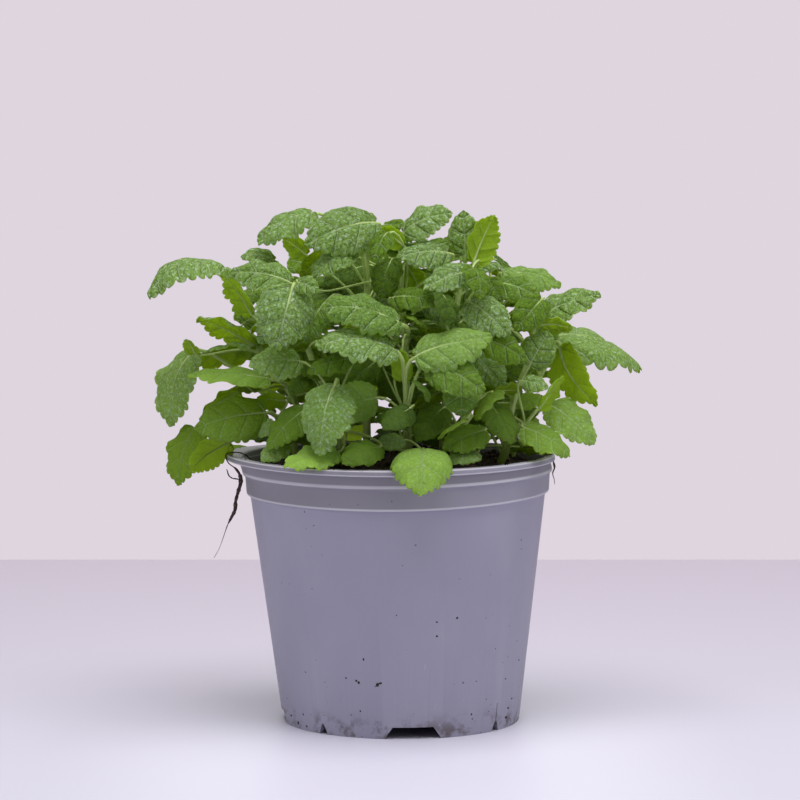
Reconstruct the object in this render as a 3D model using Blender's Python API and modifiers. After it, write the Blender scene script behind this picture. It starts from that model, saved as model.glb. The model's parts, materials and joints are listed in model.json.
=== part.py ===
"""Lemon balm growing in a grey plastic nursery pot.

Metres, +Z up. The origin is the centre of the pot's foot on the table, and -Y faces the viewer.
The pot holds a mound of potting soil, and eighteen leafy shoots stand in holes in that soil.
Each shoot is one body: a square stem, its leaf stalks and its toothed blades, joined by one union.
"""

import math
import random
from typing import NamedTuple

import bmesh
import bpy
from mathutils import Matrix, Vector
from mathutils.bvhtree import BVHTree

MM = 0.001
CLEARANCE = 0.3 * MM

# Pot
POT_HEIGHT = 106.5 * MM
LIP_RADIUS = 65.0 * MM
LIP_DEPTH = 2.6 * MM
NECK_RADIUS = 62.9 * MM
UPPER_LEDGE_RADIUS = 62.3 * MM
UPPER_LEDGE_Z = 100.7 * MM
COLLAR_RADIUS = 61.4 * MM
LOWER_LEDGE_RADIUS = 60.8 * MM
LOWER_LEDGE_Z = 92.2 * MM
BODY_TOP_RADIUS = 60.0 * MM
FOOT_RADIUS = 48.3 * MM
FOOT_RING = 2.4 * MM
WALL = 1.1 * MM
FLOOR_UNDERSIDE_Z = 3.4 * MM
FLOOR_TOP_Z = 4.6 * MM
POT_SIDES = 36

# Drain notches round the foot: four wide ones, and a slit between each two
NOTCH_HEIGHT = 4.7 * MM
NOTCH_FOOT_WIDTH = 22.5 * MM
NOTCH_TOP_WIDTH = 16.0 * MM
NOTCH_INNER_RADIUS = 36.0 * MM
SLIT_HEIGHT = 4.0 * MM
SLIT_FOOT_WIDTH = 4.4 * MM
SLIT_TOP_WIDTH = 1.2 * MM
SLIT_INNER_RADIUS = 42.0 * MM
NOTCH_TURN = math.radians(5.7)

# Soil
SOIL_RIM_Z = 101.5 * MM
SOIL_CROWN_Z = 108.5 * MM
SOIL_LUMP = 1.1 * MM
SOIL_RINGS = 4
SOIL_SIDES = 20

# Shoots
STEM_FOOT_RADIUS = 1.55 * MM
STEM_TOP_RADIUS = 1.05 * MM
STALK_RADIUS = 0.75 * MM
STEM_DEPTH = 7.0 * MM
STEM_JOINTS = (0.0, 0.34, 0.68, 1.0)
LEAF_NODE_STEP = 11.0 * MM
BLADE_THICKNESS = 0.6 * MM
BREATHING_SPACE = 0.55 * MM

# The rounded outline that the leaves grown by rule keep within, as seen from the eye (x, z)
REACH_CENTRE = (-5 * MM, 120 * MM)
REACH = (80 * MM, 84 * MM)
# How far back they reach, which is as far as the leaf over the front rim does
DEEPEST = 77.5 * MM

# Ways to join a shoot's pieces, tried in turn: a solver, how much fuller the stalks are, and how
# the joined faces are split into triangles
WELD = 0.0002 * MM
ATTEMPTS = [(solver, fuller, split) for fuller in (1.0, 1.04, 0.97, 1.08, 0.93)
            for solver in ("EXACT", "MANIFOLD") for split in ("BEAUTY", "EAR_CLIP")]

# The point from which the plant was measured: leaf places below are as they
# look from here against the upright plane through the pot's axis
EYE = Vector((0.0, -1133.0, 209.5)) * MM


class Leaf(NamedTuple):
    """A blade read off the plant, in millimetres: (x, z) of its base and tip as
    seen against the upright plane through the pot's axis, their depths (y), the
    width that is seen of it, which side is seen, and how far its midrib bows out
    of its chord near the base and near the tip."""

    base: tuple
    tip: tuple
    depth: tuple
    seen_width: float
    shows: str = "upper"
    bow: tuple = (3, 2)


class Shoot(NamedTuple):
    """One leafy shoot, in millimetres: where its stem leaves the soil (x, y),
    its top (x, y, z), its measured leaves, and how many more it grows by rule."""

    root: tuple
    top: tuple
    leaves: tuple
    extra: int = 0


SHOOTS = {
    "shoot_front_centre": Shoot((2, -32), (2, -38, 127), (
        Leaf((-3, 151), (-35, 152), (-48, -58), 13, "upper", (6, 5)),
        Leaf((6, 148), (37, 156), (-48, -50), 16, "upper", (4, 1)),
        Leaf((12, 145), (34, 133), (-50, -56), 17, "upper", (5, 4)),
        Leaf((1, 138), (0, 151), (-38, -40), 9, "under", (0, 1)),
        Leaf((-10, 131), (-30, 127), (-42, -46), 17, "upper", (2, 2)),
    )),
    "shoot_front_left": Shoot((-24, -30), (-25, -34, 131), (
        Leaf((-27, 136), (-33, 107), (-50, -62), 21, "upper", (7, 5)),
        Leaf((-26, 109), (-48, 103), (-52, -60), 9, "upper", (2, 2)),
        Leaf((-41, 146), (-62, 144), (-36, -42), 13, "upper", (3, 3)),
        Leaf((-9, 111), (-24, 104), (-50, -60), 11, "upper", (3, 3)),
        Leaf((-21, 147), (-38, 141), (-36, -40), 8, "upper", (2, 2)),
        Leaf((-38, 127), (-54, 110), (-34, -42), 13, "upper", (3, 3)),
    )),
    "shoot_low_left": Shoot((-42, -12), (-50, -12, 124), (
        Leaf((-55, 125), (-84, 118), (-16, -22), 20, "upper", (4, 5)),
        Leaf((-70, 113), (-86, 101), (-14, -18), 12, "under", (3, 3)),
        Leaf((-84, 119), (-91, 95), (-8, -14), 14, "upper", (4, 3)),
        Leaf((-46, 112), (-57, 105), (-36, -42), 8, "upper", (2, 2)),
        Leaf((-47, 130), (-60, 129), (-6, -8), 7, "under", (2, 2)),
        Leaf((-52, 121), (-58, 115), (-32, -34), 5, "upper", (1, 1)),
    )),
    "shoot_left": Shoot((-38, 12), (-56, 8, 148), (
        Leaf((-59, 151), (-84, 144), (2, 6), 10, "under", (4, 3)),
        Leaf((-58, 152), (-83, 163), (10, 8), 9, "under", (1, 3)),
        Leaf((-54, 139), (-87, 140), (-16, -22), 9, "upper", (2, 2)),
        Leaf((-66, 134), (-82, 122), (8, 4), 8, "under", (2, 2)),
        Leaf((-85, 149), (-94, 119), (-2, -8), 15, "upper", (8, 4)),
        Leaf((-83, 149), (-87, 155), (-6, -8), 5, "under", (0, 1)),
    ), 1),
    "shoot_high_left": Shoot((-28, -4), (-50, -8, 176), (
        Leaf((-71, 183), (-102, 171), (-12, -32), 7, "upper", (12, 13)),
        Leaf((-60, 165), (-73, 182), (-4, -2), 7, "under", (1, 2)),
        Leaf((-45, 178), (-69, 182), (-26, -22), 13, "upper", (4, 2)),
        Leaf((-44, 176), (-51, 150), (-32, -42), 25, "upper", (7, 4)),
        Leaf((-51, 187), (-65, 188), (2, 0), 7, "upper", (3, 3)),
        Leaf((-46, 167), (-58, 153), (-12, -14), 13, "upper", (2, 2)),
        Leaf((-42, 178), (-33, 174), (-34, -40), 8, "upper", (2, 2)),
    ), 1),
    "shoot_top_left": Shoot((-14, 8), (-14, 2, 192), (
        Leaf((-10, 202), (-39, 193), (-14, -26), 21, "upper", (7, 4)),
        Leaf((-36, 206), (-58, 193), (2, -6), 10, "upper", (5, 4)),
        Leaf((-20, 191), (-36, 180), (-22, -32), 10, "upper", (4, 2)),
        Leaf((-38, 189), (-48, 196), (14, 18), 9, "under", (1, 1)),
        Leaf((-28, 190), (-41, 180), (8, 10), 9, "under", (2, 2)),
        Leaf((-1, 162), (-33, 167), (-42, -50), 13, "upper", (4, 5)),
        Leaf((-13, 185), (-32, 176), (0, -6), 11, "upper", (3, 2)),
        Leaf((-30, 171), (-40, 153), (-14, -18), 13, "upper", (3, 2)),
    ), 1),
    "shoot_top_centre": Shoot((3, -6), (-1, -8, 188), (
        Leaf((1, 198), (21, 206), (-10, -14), 12, "upper", (5, 3)),
        Leaf((1, 193), (-8, 200), (-10, -6), 8, "under", (0, 1)),
        Leaf((19, 190), (-2, 188), (-20, -28), 12, "upper", (3, 2)),
        Leaf((-4, 187), (-8, 171), (-14, -20), 12, "upper", (3, 2)),
        Leaf((-3, 172), (16, 169), (-32, -40), 10, "upper", (3, 2)),
        Leaf((3, 184), (8, 172), (-6, -8), 9, "under", (3, 2)),
        Leaf((-10, 160), (-27, 153), (-22, -26), 11, "under", (2, 2)),
        Leaf((-6, 198), (-11, 186), (-18, -24), 9, "upper", (2, 2)),
        Leaf((-10, 146), (-24, 133), (-20, -24), 14, "upper", (3, 2)),
    ), 1),
    "shoot_top_right": Shoot((17, 2), (25, 0, 182), (
        Leaf((26, 189), (25, 207), (-4, 0), 14, "upper", (1, 2)),
        Leaf((29, 186), (38, 205), (-8, -4), 13, "under", (1, 2)),
        Leaf((29, 182), (9, 175), (-24, -34), 12, "upper", (4, 2)),
        Leaf((29, 184), (32, 171), (-16, -28), 10, "upper", (4, 3)),
        Leaf((31, 183), (42, 184), (8, 10), 4, "upper", (3, 3)),
        Leaf((11, 172), (23, 159), (-20, -26), 13, "upper", (3, 2)),
        Leaf((10, 150), (25, 141), (-18, -22), 13, "upper", (3, 2)),
    ), 1),
    "shoot_high_right": Shoot((30, 14), (42, 10, 174), (
        Leaf((41, 182), (65, 176), (6, 8), 7, "upper", (3, 4)),
        Leaf((40, 178), (57, 171), (-4, -8), 10, "upper", (2, 2)),
        Leaf((57, 171), (46, 158), (-24, -32), 14, "upper", (3, 3)),
        Leaf((35, 179), (41, 170), (-20, -26), 9, "upper", (2, 2)),
        Leaf((54, 167), (62, 152), (-4, -8), 14, "upper", (2, 2)),
        Leaf((30, 149), (42, 135), (-20, -24), 14, "upper", (2, 2)),
    ), 1),
    "shoot_right": Shoot((42, -2), (54, -6, 152), (
        Leaf((57, 165), (81, 173), (-12, -16), 12, "upper", (2, 2)),
        Leaf((60, 156), (96, 142), (-6, 22), 9, "upper", (9, 9)),
        Leaf((65, 151), (80, 128), (-4, -8), 14, "under", (-6, -3)),
        Leaf((28, 170), (44, 156), (-36, -46), 16, "upper", (4, 3)),
        Leaf((57, 161), (70, 159), (-14, -10), 7, "under", (2, 2)),
        Leaf((52, 144), (60, 158), (-28, -26), 15, "upper", (2, 2)),
    )),
    "shoot_low_right": Shoot((40, -20), (50, -22, 122), (
        Leaf((61, 128), (79, 112), (-18, -24), 16, "upper", (3, 4)),
        Leaf((56, 127), (66, 140), (-18, -14), 5, "under", (0, 1)),
        Leaf((50, 119), (69, 107), (-26, -32), 12, "upper", (3, 3)),
        Leaf((50, 138), (60, 135), (-20, -22), 7, "upper", (1, 1)),
        Leaf((47, 129), (58, 130), (-8, -10), 7, "upper", (1, 1)),
    ), 1),
    "shoot_front_right": Shoot((22, -30), (27, -34, 132), (
        Leaf((24, 137), (25, 123), (-44, -50), 15, "upper", (2, 2)),
        Leaf((34, 118), (17, 110), (-42, -50), 12, "upper", (2, 2)),
        Leaf((31, 109), (19, 104), (-52, -60), 8, "upper", (2, 2)),
        Leaf((37, 128), (45, 112), (-32, -42), 13, "upper", (2, 2)),
        Leaf((17, 173), (19, 160), (-32, -40), 9, "upper", (4, 3)),
        Leaf((17, 127), (6, 113), (-34, -42), 13, "upper", (2, 2)),
        Leaf((34, 155), (51, 146), (-40, -38), 12, "upper", (3, 2)),
    ), 1),
    "shoot_low_front": Shoot((9, -46), (9, -48, 113), (
        Leaf((9, 110), (8, 91), (-54, -78), 26, "upper", (8, 5)),
        Leaf((1, 114), (-10, 112), (-42, -46), 7, "upper", (1, 1)),
    )),
    "shoot_back_left": Shoot((-30, 34), (-40, 46, 168), (), 7),
    "shoot_back_centre": Shoot((-2, 30), (-4, 40, 186), (), 8),
    "shoot_back_right": Shoot((26, 34), (34, 46, 172), (), 7),
    "shoot_back_low": Shoot((4, 50), (8, 62, 134), (
        Leaf((-17, 121), (-23, 107), (52, 78), 15, "under", (7, 4)),
    ), 6),
    "shoot_side_right": Shoot((46, 20), (60, 28, 142), (), 6),
}


def seen_at(place, depth):
    """The point at this depth on the line of sight through (x, z) on the axis plane."""
    on_plane = Vector((place[0], 0.0, place[1])) * MM
    return EYE + (on_plane - EYE) * ((depth * MM - EYE.y) / -EYE.y)


def facing(base, tip, seen_share, shows):
    """The way a blade's upper side faces, if this share of its width is seen from the eye."""
    along = (tip - base).normalized()
    to_eye = (EYE - base).normalized()
    to_eye = (to_eye - along * to_eye.dot(along)).normalized()
    aside = along.cross(to_eye)
    if aside.z < 0:
        aside.negate()
    seen_share = min(1.0, seen_share)
    return to_eye * (seen_share if shows == "upper" else -seen_share) + aside * math.sqrt(1 - seen_share**2)


def bezier(points, t):
    a, b, c, d = points
    u = 1.0 - t
    return a * u**3 + b * (3 * u * u * t) + c * (3 * u * t * t) + d * t**3


def bezier_slope(points, t):
    a, b, c, d = points
    u = 1.0 - t
    return (b - a) * (3 * u * u) + (c - b) * (6 * u * t) + (d - c) * (3 * t * t)


# Leaf blade: flat outline, and the surface it is bent to
BASE_FULLNESS = 0.42
TIP_FULLNESS = 0.66
HEART_LOBE = 0.17
TOOTH_DEPTH = 0.12
TOOTH_PEAK = 0.62
WIDTH_TO_LENGTH = 0.76


def outline(turn):
    """(along, across) on the toothless edge of a blade one long and two wide, at
    an angle from 0 at the stalk to pi at the tip."""
    share = (1 - math.cos(turn)) / 2
    widest = BASE_FULLNESS / (BASE_FULLNESS + TIP_FULLNESS)
    fullest = widest**BASE_FULLNESS * (1 - widest) ** TIP_FULLNESS
    across = share**BASE_FULLNESS * (1 - share) ** TIP_FULLNESS / fullest
    return share - HEART_LOBE * across * (1 - share) ** 6, across


def face_out(body):
    """Turns the faces of a closed body outward."""
    bmesh.ops.recalc_face_normals(body, faces=body.faces[:])
    if body.calc_volume(signed=True) < 0:
        bmesh.ops.reverse_faces(body, faces=body.faces[:])
    return body


def toothed_edge(teeth):
    """The edge points of half a blade from stalk to tip, two for each tooth."""
    points = [(0.0, 0.0)]
    for tooth in range(teeth):
        for place, inset in ((TOOTH_PEAK, 0.0), (1.0, TOOTH_DEPTH)):
            along, across = outline(math.pi * (tooth + 0.25 + place) / (teeth + 0.6))
            points.append((along + (0.45 - along) * inset, across * (1 - inset)))
    points.append((1.0, 0.0))
    return points


def blade_template(teeth, rib_joints):
    """A flat toothed blade, one long, two wide and one thick, as a closed mesh."""
    flat = bmesh.new()
    ring = [flat.verts.new((x, y, 0)) for x, y in toothed_edge(teeth)]
    ring += [flat.verts.new((1 - (j + 1) / (rib_joints + 1), 0, 0)) for j in range(rib_joints)]
    edges = [flat.edges.new((a, b)) for a, b in zip(ring, ring[1:] + ring[:1])]
    bmesh.ops.triangle_fill(flat, edges=edges, use_beauty=True)
    bmesh.ops.mirror(flat, geom=flat.verts[:] + flat.edges[:] + flat.faces[:], axis="Y", merge_dist=1e-6)
    lower = bmesh.ops.extrude_face_region(flat, geom=flat.faces[:])["geom"]
    lower_verts = [item for item in lower if isinstance(item, bmesh.types.BMVert)]
    bmesh.ops.translate(flat, verts=lower_verts, vec=(0, 0, -1))
    bmesh.ops.triangulate(flat, faces=flat.faces[:])
    return face_out(flat)


class Blade:
    """A leaf blade bent in space: a midrib curve, and a surface that hangs on it."""

    def __init__(self, base, tip, face, width, bow, cup, twist, phase):
        chord = tip - base
        along = chord.normalized()
        self.up = (face - along * face.dot(along)).normalized()
        self.rib = (base, base + chord / 3 + self.up * bow[0], tip - chord / 3 + self.up * bow[1], tip)
        self.length, self.width = chord.length, width
        self.cup, self.twist, self.phase = cup, twist, phase

    def spot(self, along, across, lift=0.0):
        """The point at (along, across) of the flat blade, lifted off its upper side."""
        s = min(1.0, max(0.0, along))
        ahead = bezier_slope(self.rib, s).normalized()
        up = (self.up - ahead * self.up.dot(ahead)).normalized()
        up.rotate(Matrix.Rotation(self.twist * (s - 0.3), 3, ahead))
        side = up.cross(ahead)
        half = self.width / 2
        ripple = 0.07 * math.sin(17.0 * along + self.phase + (1.6 if across > 0 else 0.0))
        rise = half * across * across * (self.cup + ripple) + lift
        return bezier(self.rib, s) + ahead * ((along - s) * self.length) + side * (across * half) + up * rise


def shell_tree(rows):
    """An overlap tree of a closed band of rings, each a list of points."""
    count = len(rows[0])
    points = [point for row in rows for point in row]
    faces = []
    for r in range(len(rows) - 1):
        for c in range(count):
            a, b = r * count + c, r * count + (c + 1) % count
            faces.append((a, b, b + count, a + count))
    faces.append(tuple(range(count)))
    faces.append(tuple(range(len(points) - count, len(points))))
    return BVHTree.FromPolygons(points, faces)


def blade_tree(blade, grow):
    """An overlap tree of a blade, grown all round by this much."""
    rows = []
    for step in range(9):
        turn = math.pi * (0.03 + 0.94 * step / 8)
        along, across = outline(turn)
        along += (grow / blade.length) * (2 * along - 1)
        wide = across + grow / (blade.width / 2)
        over = [blade.spot(along, wide * k, grow) for k in (-1, -0.5, 0, 0.5, 1)]
        under = [blade.spot(along, wide * k, -BLADE_THICKNESS - grow) for k in (1, 0.5, 0, -0.5, -1)]
        rows.append(over + under)
    return shell_tree(rows)


def tube_tree(points, radius, grow):
    """An overlap tree of a four-sided tube through these points, grown by this much."""
    rows = []
    for i, point in enumerate(points):
        ahead = (points[min(i + 1, len(points) - 1)] - points[max(i - 1, 0)]).normalized()
        side = ahead.orthogonal().normalized()
        other = ahead.cross(side)
        reach = (radius + grow) * 1.1
        rows.append([point + side * reach, point + other * reach, point - side * reach, point - other * reach])
    return shell_tree(rows)


class Solid(NamedTuple):
    """Something already in place, that later pieces keep clear of."""

    shoot: str
    kind: str
    tree: BVHTree


class PlacedLeaf(NamedTuple):
    blade: Blade
    stalk: tuple
    teeth: int


def stem_point(shoot, share):
    """A point on the stem's line, from its root in the soil to its top."""
    root = Vector((shoot.root[0], shoot.root[1], 0)) * MM
    root.z = soil_height(root.x, root.y)
    top = Vector(shoot.top) * MM
    lean = Vector((root.x + (top.x - root.x) * 0.2, root.y + (top.y - root.y) * 0.2, (root.z + top.z) / 2))
    return bezier((root, lean, lean, top), share)


def soil_height(x, y):
    """The soil's upper surface: a lumpy mound, a little above the rim in the middle."""
    reach = math.hypot(x, y) / (NECK_RADIUS - WALL)
    mound = SOIL_RIM_Z + (SOIL_CROWN_Z - SOIL_RIM_Z) * (1 - min(1.0, reach) ** 3)
    lumps = math.sin(x * 210 + 1.3) * math.cos(y * 170 - 0.4) + 0.6 * math.sin(x * 95 - y * 140)
    return mound + SOIL_LUMP * lumps * (1 - 0.7 * reach)


def stalk_path(shoot, blade, leave_share, bend):
    """The stalk's curve: out of the stem, then into the blade along its midrib."""
    start = stem_point(shoot, leave_share)
    end = blade.rib[0]
    span = (end - start).length
    inward = bezier_slope(blade.rib, 0).normalized()
    out = (end - start).normalized() + Vector((0, 0, 0.55))
    points = (start, start + out.normalized() * span * 0.35 + bend, end - inward * span * 0.3 + bend * 0.6, end)
    return points


def sample(points, count):
    return [bezier(points, i / (count - 1)) for i in range(count)]


STALK_FULLEST = STALK_RADIUS * 1.2
BENDS = [Vector(v) * MM for v in (
    (0, 0, 0), (0, 0, -4), (0, 0, 4), (4, 0, 0), (-4, 0, 0), (0, 5, 0), (0, -5, 0),
    (6, 6, -3), (-6, 6, -3), (6, -6, -3), (-6, -6, -3), (0, 9, 4), (0, -9, 4),
    (10, 0, 3), (-10, 0, 3), (0, 12, -5), (8, 10, 5), (-8, 10, 5),
)]


def is_clear(tree, shoot_name, solids, ignore):
    """Whether a grown piece touches nothing in place, apart from these kinds of its own shoot."""
    for solid in solids:
        if solid.shoot == shoot_name and solid.kind in ignore:
            continue
        if tree.overlap(solid.tree):
            return False
    return True


def stalk_points(blade, path):
    """The stalk's joints: three on its curve, and one sunk in the blade."""
    ahead = bezier_slope(blade.rib, 0).normalized()
    foot = blade.spot(0.0, 0.0, -BLADE_THICKNESS / 2)
    return sample(path, 3)[:-1] + [foot, foot + ahead * blade.length * 0.1]


def is_gentle(points):
    """Whether a tube through these points has no kink sharp enough to cross itself."""
    steps = [b - a for a, b in zip(points, points[1:])]
    turns = [a.normalized().dot(b.normalized()) for a, b in zip(steps, steps[1:])]
    return min(turns) > 0.1 and min(step.length for step in steps) > 0.9 * MM


def fit_leaf(name, shoot, blade, solids):
    """The blade's stalk if both fit clear of everything, otherwise None."""
    if not is_clear(blade_tree(blade, BREATHING_SPACE), name, solids, ()):
        return None
    start_z, top_z = stem_point(shoot, 0).z, stem_point(shoot, 1).z
    base = blade.rib[0]
    for drop in (0.6, 0.3, 1.0, 0.0):
        axis = stem_point(shoot, 1)
        reach = math.hypot(base.x - axis.x, base.y - axis.y)
        share = (base.z - drop * reach - start_z) / (top_z - start_z)
        steps = max(1, round((top_z - start_z) / LEAF_NODE_STEP))
        share = min(1.0, max(1.0 / steps, round(share * steps) / steps))
        for bend in BENDS:
            path = stalk_path(shoot, blade, share * 0.97, bend)
            points = stalk_points(blade, path)
            if not is_gentle(points):
                continue
            tree = tube_tree(points, STALK_FULLEST, BREATHING_SPACE)
            if is_clear(tree, name, solids, ("stem", "stalk")):
                return path
    return None


def keep(name, placed, solids, blade, path, most_teeth=6):
    """Adds a fitted leaf to its shoot, and to what later pieces keep clear of."""
    size = blade.width / MM
    teeth = min(most_teeth, 5 if size > 21 else 4 if size > 14.5 else 3)
    placed[name].append(PlacedLeaf(blade, path, teeth))
    solids.append(Solid(name, "blade", blade_tree(blade, 0.0)))
    solids.append(Solid(name, "stalk", tube_tree(stalk_points(blade, path), STALK_FULLEST, 0.0)))


DEPTH_SHIFTS = (0, 4, -4, 8, -8, 12, -12, 16, -16, 20)
SHRINKS = (1.0, 0.92, 0.84)


def place_measured(placed, solids, draw):
    """Places the measured leaves, sliding one along the line of sight where it would touch another."""
    for name, shoot in SHOOTS.items():
        for leaf in shoot.leaves:
            cup = draw.uniform(-0.3, -0.05)
            twist, phase = draw.uniform(-0.3, 0.3), draw.uniform(0, 6.28)
            if not fit_measured(name, shoot, leaf, (cup, twist, phase), placed, solids):
                print("no room for", name, leaf)


def fit_measured(name, shoot, leaf, form, placed, solids):
    for shrink in SHRINKS:
        for tilt in (0, 5, -5):
            for shift in DEPTH_SHIFTS:
                base = seen_at(leaf.base, leaf.depth[0] + shift)
                tip = seen_at(leaf.tip, leaf.depth[1] + shift + tilt)
                width = max(WIDTH_TO_LENGTH * (tip - base).length, leaf.seen_width * MM) * shrink
                face = facing(base, tip, leaf.seen_width * MM / width, leaf.shows)
                tip = base + (tip - base) * (0.5 + 0.5 * shrink)
                blade = Blade(base, tip, face, width, [b * MM for b in leaf.bow], *form)
                path = fit_leaf(name, shoot, blade, solids)
                if path:
                    keep(name, placed, solids, blade, path)
                    return True
    return False


def is_within_reach(point):
    """Whether the point is inside the plant's rounded outline, as seen from the eye, and not too far back."""
    on_plane = EYE + (point - EYE) * (-EYE.y / (point.y - EYE.y))
    out = math.hypot((on_plane.x - REACH_CENTRE[0]) / REACH[0], (on_plane.z - REACH_CENTRE[1]) / REACH[1])
    return out < 1 and point.y < DEEPEST


def place_by_rule(placed, solids, draw):
    """Grows the further leaves in opposite pairs, each pair square to the one below."""
    for name, shoot in SHOOTS.items():
        turn = draw.uniform(0, math.pi)
        grown = 0
        for attempt in range(shoot.extra * 16):
            if grown == shoot.extra:
                break
            pair, side = divmod(attempt, 2)
            share = 0.25 + 0.75 * draw.random()
            azimuth = turn + math.pi / 2 * pair + math.pi * side + draw.uniform(-0.5, 0.5)
            lift = draw.uniform(-0.1, 0.8) + 0.4 * share
            length = draw.uniform(22, 32) * MM * (1.08 - 0.25 * share)
            stalk = draw.uniform(9, 22) * MM
            out = Vector((math.cos(azimuth), math.sin(azimuth), 0))
            base = stem_point(shoot, share) + (out + Vector((0, 0, lift))).normalized() * stalk
            droop = draw.uniform(-0.75, 0.25)
            tip = base + (out + Vector((0, 0, droop))).normalized() * length
            face = Vector((0, 0, 1)) + out * draw.uniform(0, 0.6)
            bow = (draw.uniform(2, 5) * MM, draw.uniform(1, 4) * MM)
            form = (draw.uniform(-0.34, 0.0), draw.uniform(-0.5, 0.5), draw.uniform(0, 6.28))
            blade = Blade(base, tip, face, length * draw.uniform(0.7, 0.82), bow, *form)
            if not all(is_within_reach(blade.spot(*place)) for place in ((0, 0), (0.5, 1), (0.5, -1), (1, 0))):
                continue
            path = fit_leaf(name, shoot, blade, solids)
            if path:
                keep(name, placed, solids, blade, path, 3)
                grown += 1


def place_leaves(obstacles):
    """Every leaf of every shoot, all clear of each other and of the pot and soil."""
    draw = random.Random(11)
    solids = [Solid("", "obstacle", tree) for tree in obstacles]
    for name, shoot in SHOOTS.items():
        solids.append(Solid(name, "stem", tube_tree(stem_line(shoot)[1:], STEM_FOOT_RADIUS, 0.0)))
    placed = {name: [] for name in SHOOTS}
    place_measured(placed, solids, draw)
    place_by_rule(placed, solids, draw)
    return placed


def blade_mesh(leaf, templates):
    """A blade's body: the flat toothed template, laid on the bent surface."""
    body = templates[leaf.teeth].copy()
    for vert in body.verts:
        x, y, z = vert.co
        vert.co = leaf.blade.spot(x, y, BLADE_THICKNESS * z)
    return face_out(body)


def tube_curve(name, points, radii, section=None):
    """A filled tube as a curve through these points. It is square unless another section is given."""
    curve = bpy.data.curves.new(name, "CURVE")
    curve.dimensions = "3D"
    curve.use_fill_caps = True
    curve.bevel_resolution = 0
    curve.bevel_depth = 1.0
    if section:
        curve.bevel_mode = "OBJECT"
        curve.bevel_object = section
    line = curve.splines.new("POLY")
    line.points.add(len(points) - 1)
    for place, point, radius in zip(line.points, points, radii):
        place.co = (*point, 1.0)
        place.radius = radius
    return bpy.data.objects.new(name, curve)


def tube_mesh(points, radii, section=None):
    """The same tube as a closed mesh, which a Boolean can join."""
    made = tube_curve("tube", points, radii, section)
    bpy.context.scene.collection.objects.link(made)
    graph = bpy.context.evaluated_depsgraph_get()
    mesh = bpy.data.meshes.new_from_object(made.evaluated_get(graph))
    bpy.data.objects.remove(made)
    body = bmesh.new()
    body.from_mesh(mesh)
    bpy.data.meshes.remove(mesh)
    bmesh.ops.remove_doubles(body, verts=body.verts[:], dist=0.001 * MM)
    bmesh.ops.triangulate(body, faces=body.faces[:])
    return face_out(body)


def stalk_section():
    """The leaf stalks' three-sided section, a guide that isn't part of the model."""
    curve = bpy.data.curves.new("stalk_section", "CURVE")
    curve.dimensions = "2D"
    ring = curve.splines.new("POLY")
    ring.points.add(2)
    ring.use_cyclic_u = True
    for i, place in enumerate(ring.points):
        turn = -2 * math.pi * i / 3
        place.co = (math.cos(turn), math.sin(turn), 0.0, 1.0)
    guide = bpy.data.objects.new("stalk_section", curve)
    bpy.context.scene.collection.objects.link(guide)
    guide.hide_render = True
    return guide


def stem_line(shoot):
    """The stem's joints, from below the soil to its top."""
    foot = stem_point(shoot, 0) - Vector((0, 0, STEM_DEPTH))
    return [foot] + [stem_point(shoot, share) for share in STEM_JOINTS]


def stem_mesh(shoot):
    """The square stem, thinner towards its top."""
    radii = [STEM_FOOT_RADIUS + (STEM_TOP_RADIUS - STEM_FOOT_RADIUS) * share for share in STEM_JOINTS]
    return tube_mesh(stem_line(shoot), [STEM_FOOT_RADIUS] + radii)


def stalk_mesh(leaf, fuller, section):
    """The leaf stalk: its lower end is sunk in the stem, and its upper end in the blade's base."""
    points = stalk_points(leaf.blade, leaf.stalk)
    radii = [STALK_RADIUS * 1.15 * fuller] * 2 + [STALK_RADIUS * 0.9 * fuller, BLADE_THICKNESS * 0.3]
    return tube_mesh(points, radii, section)


def material(name, colour, roughness):
    made = bpy.data.materials.new(name)
    made.use_nodes = True
    surface = made.node_tree.nodes["Principled BSDF"]
    surface.inputs["Base Color"].default_value = (*colour, 1.0)
    surface.inputs["Roughness"].default_value = roughness
    surface.inputs["Metallic"].default_value = 0.0
    made.diffuse_color = (*colour, 1.0)
    return made


def new_object(name, body, collection, finish=None):
    mesh = bpy.data.meshes.new(name)
    body.to_mesh(mesh)
    body.free()
    made = bpy.data.objects.new(name, mesh)
    collection.objects.link(made)
    if finish:
        mesh.materials.append(finish)
    return made


def shade_round(mesh):
    mesh.shade_smooth()
    mesh.set_sharp_from_angle(angle=math.radians(35))


def apply_modifiers(made):
    """Swaps the object's mesh for what its modifiers make of it."""
    graph = bpy.context.evaluated_depsgraph_get()
    done = bpy.data.meshes.new_from_object(made.evaluated_get(graph))
    made.modifiers.clear()
    made.data = done


def add_boolean(made, cutters, operation, solver="EXACT"):
    cut = made.modifiers.new(operation.title(), "BOOLEAN")
    cut.operation = operation
    cut.operand_type = "COLLECTION"
    cut.collection = cutters
    cut.solver = solver


def collection_of(name):
    made = bpy.data.collections.new(name)
    bpy.context.scene.collection.children.link(made)
    return made


def remove_collection(collection):
    for piece in list(collection.objects):
        bpy.data.objects.remove(piece)
    bpy.data.collections.remove(collection)


def fill_pockets(body):
    """Removes the closed shells inside a body, such as a pocket where a stalk meets a folded blade."""
    left = set(body.verts)
    shells = []
    while left:
        shell, edge_on = set(), [left.pop()]
        while edge_on:
            vert = edge_on.pop()
            shell.add(vert)
            for edge in vert.link_edges:
                other = edge.other_vert(vert)
                if other in left:
                    left.discard(other)
                    edge_on.append(other)
        shells.append(shell)
    shells.sort(key=len)
    for shell in shells[:-1]:
        print("removed a shell of", len(shell), "points")
        bmesh.ops.delete(body, geom=list(shell), context="VERTS")


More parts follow.
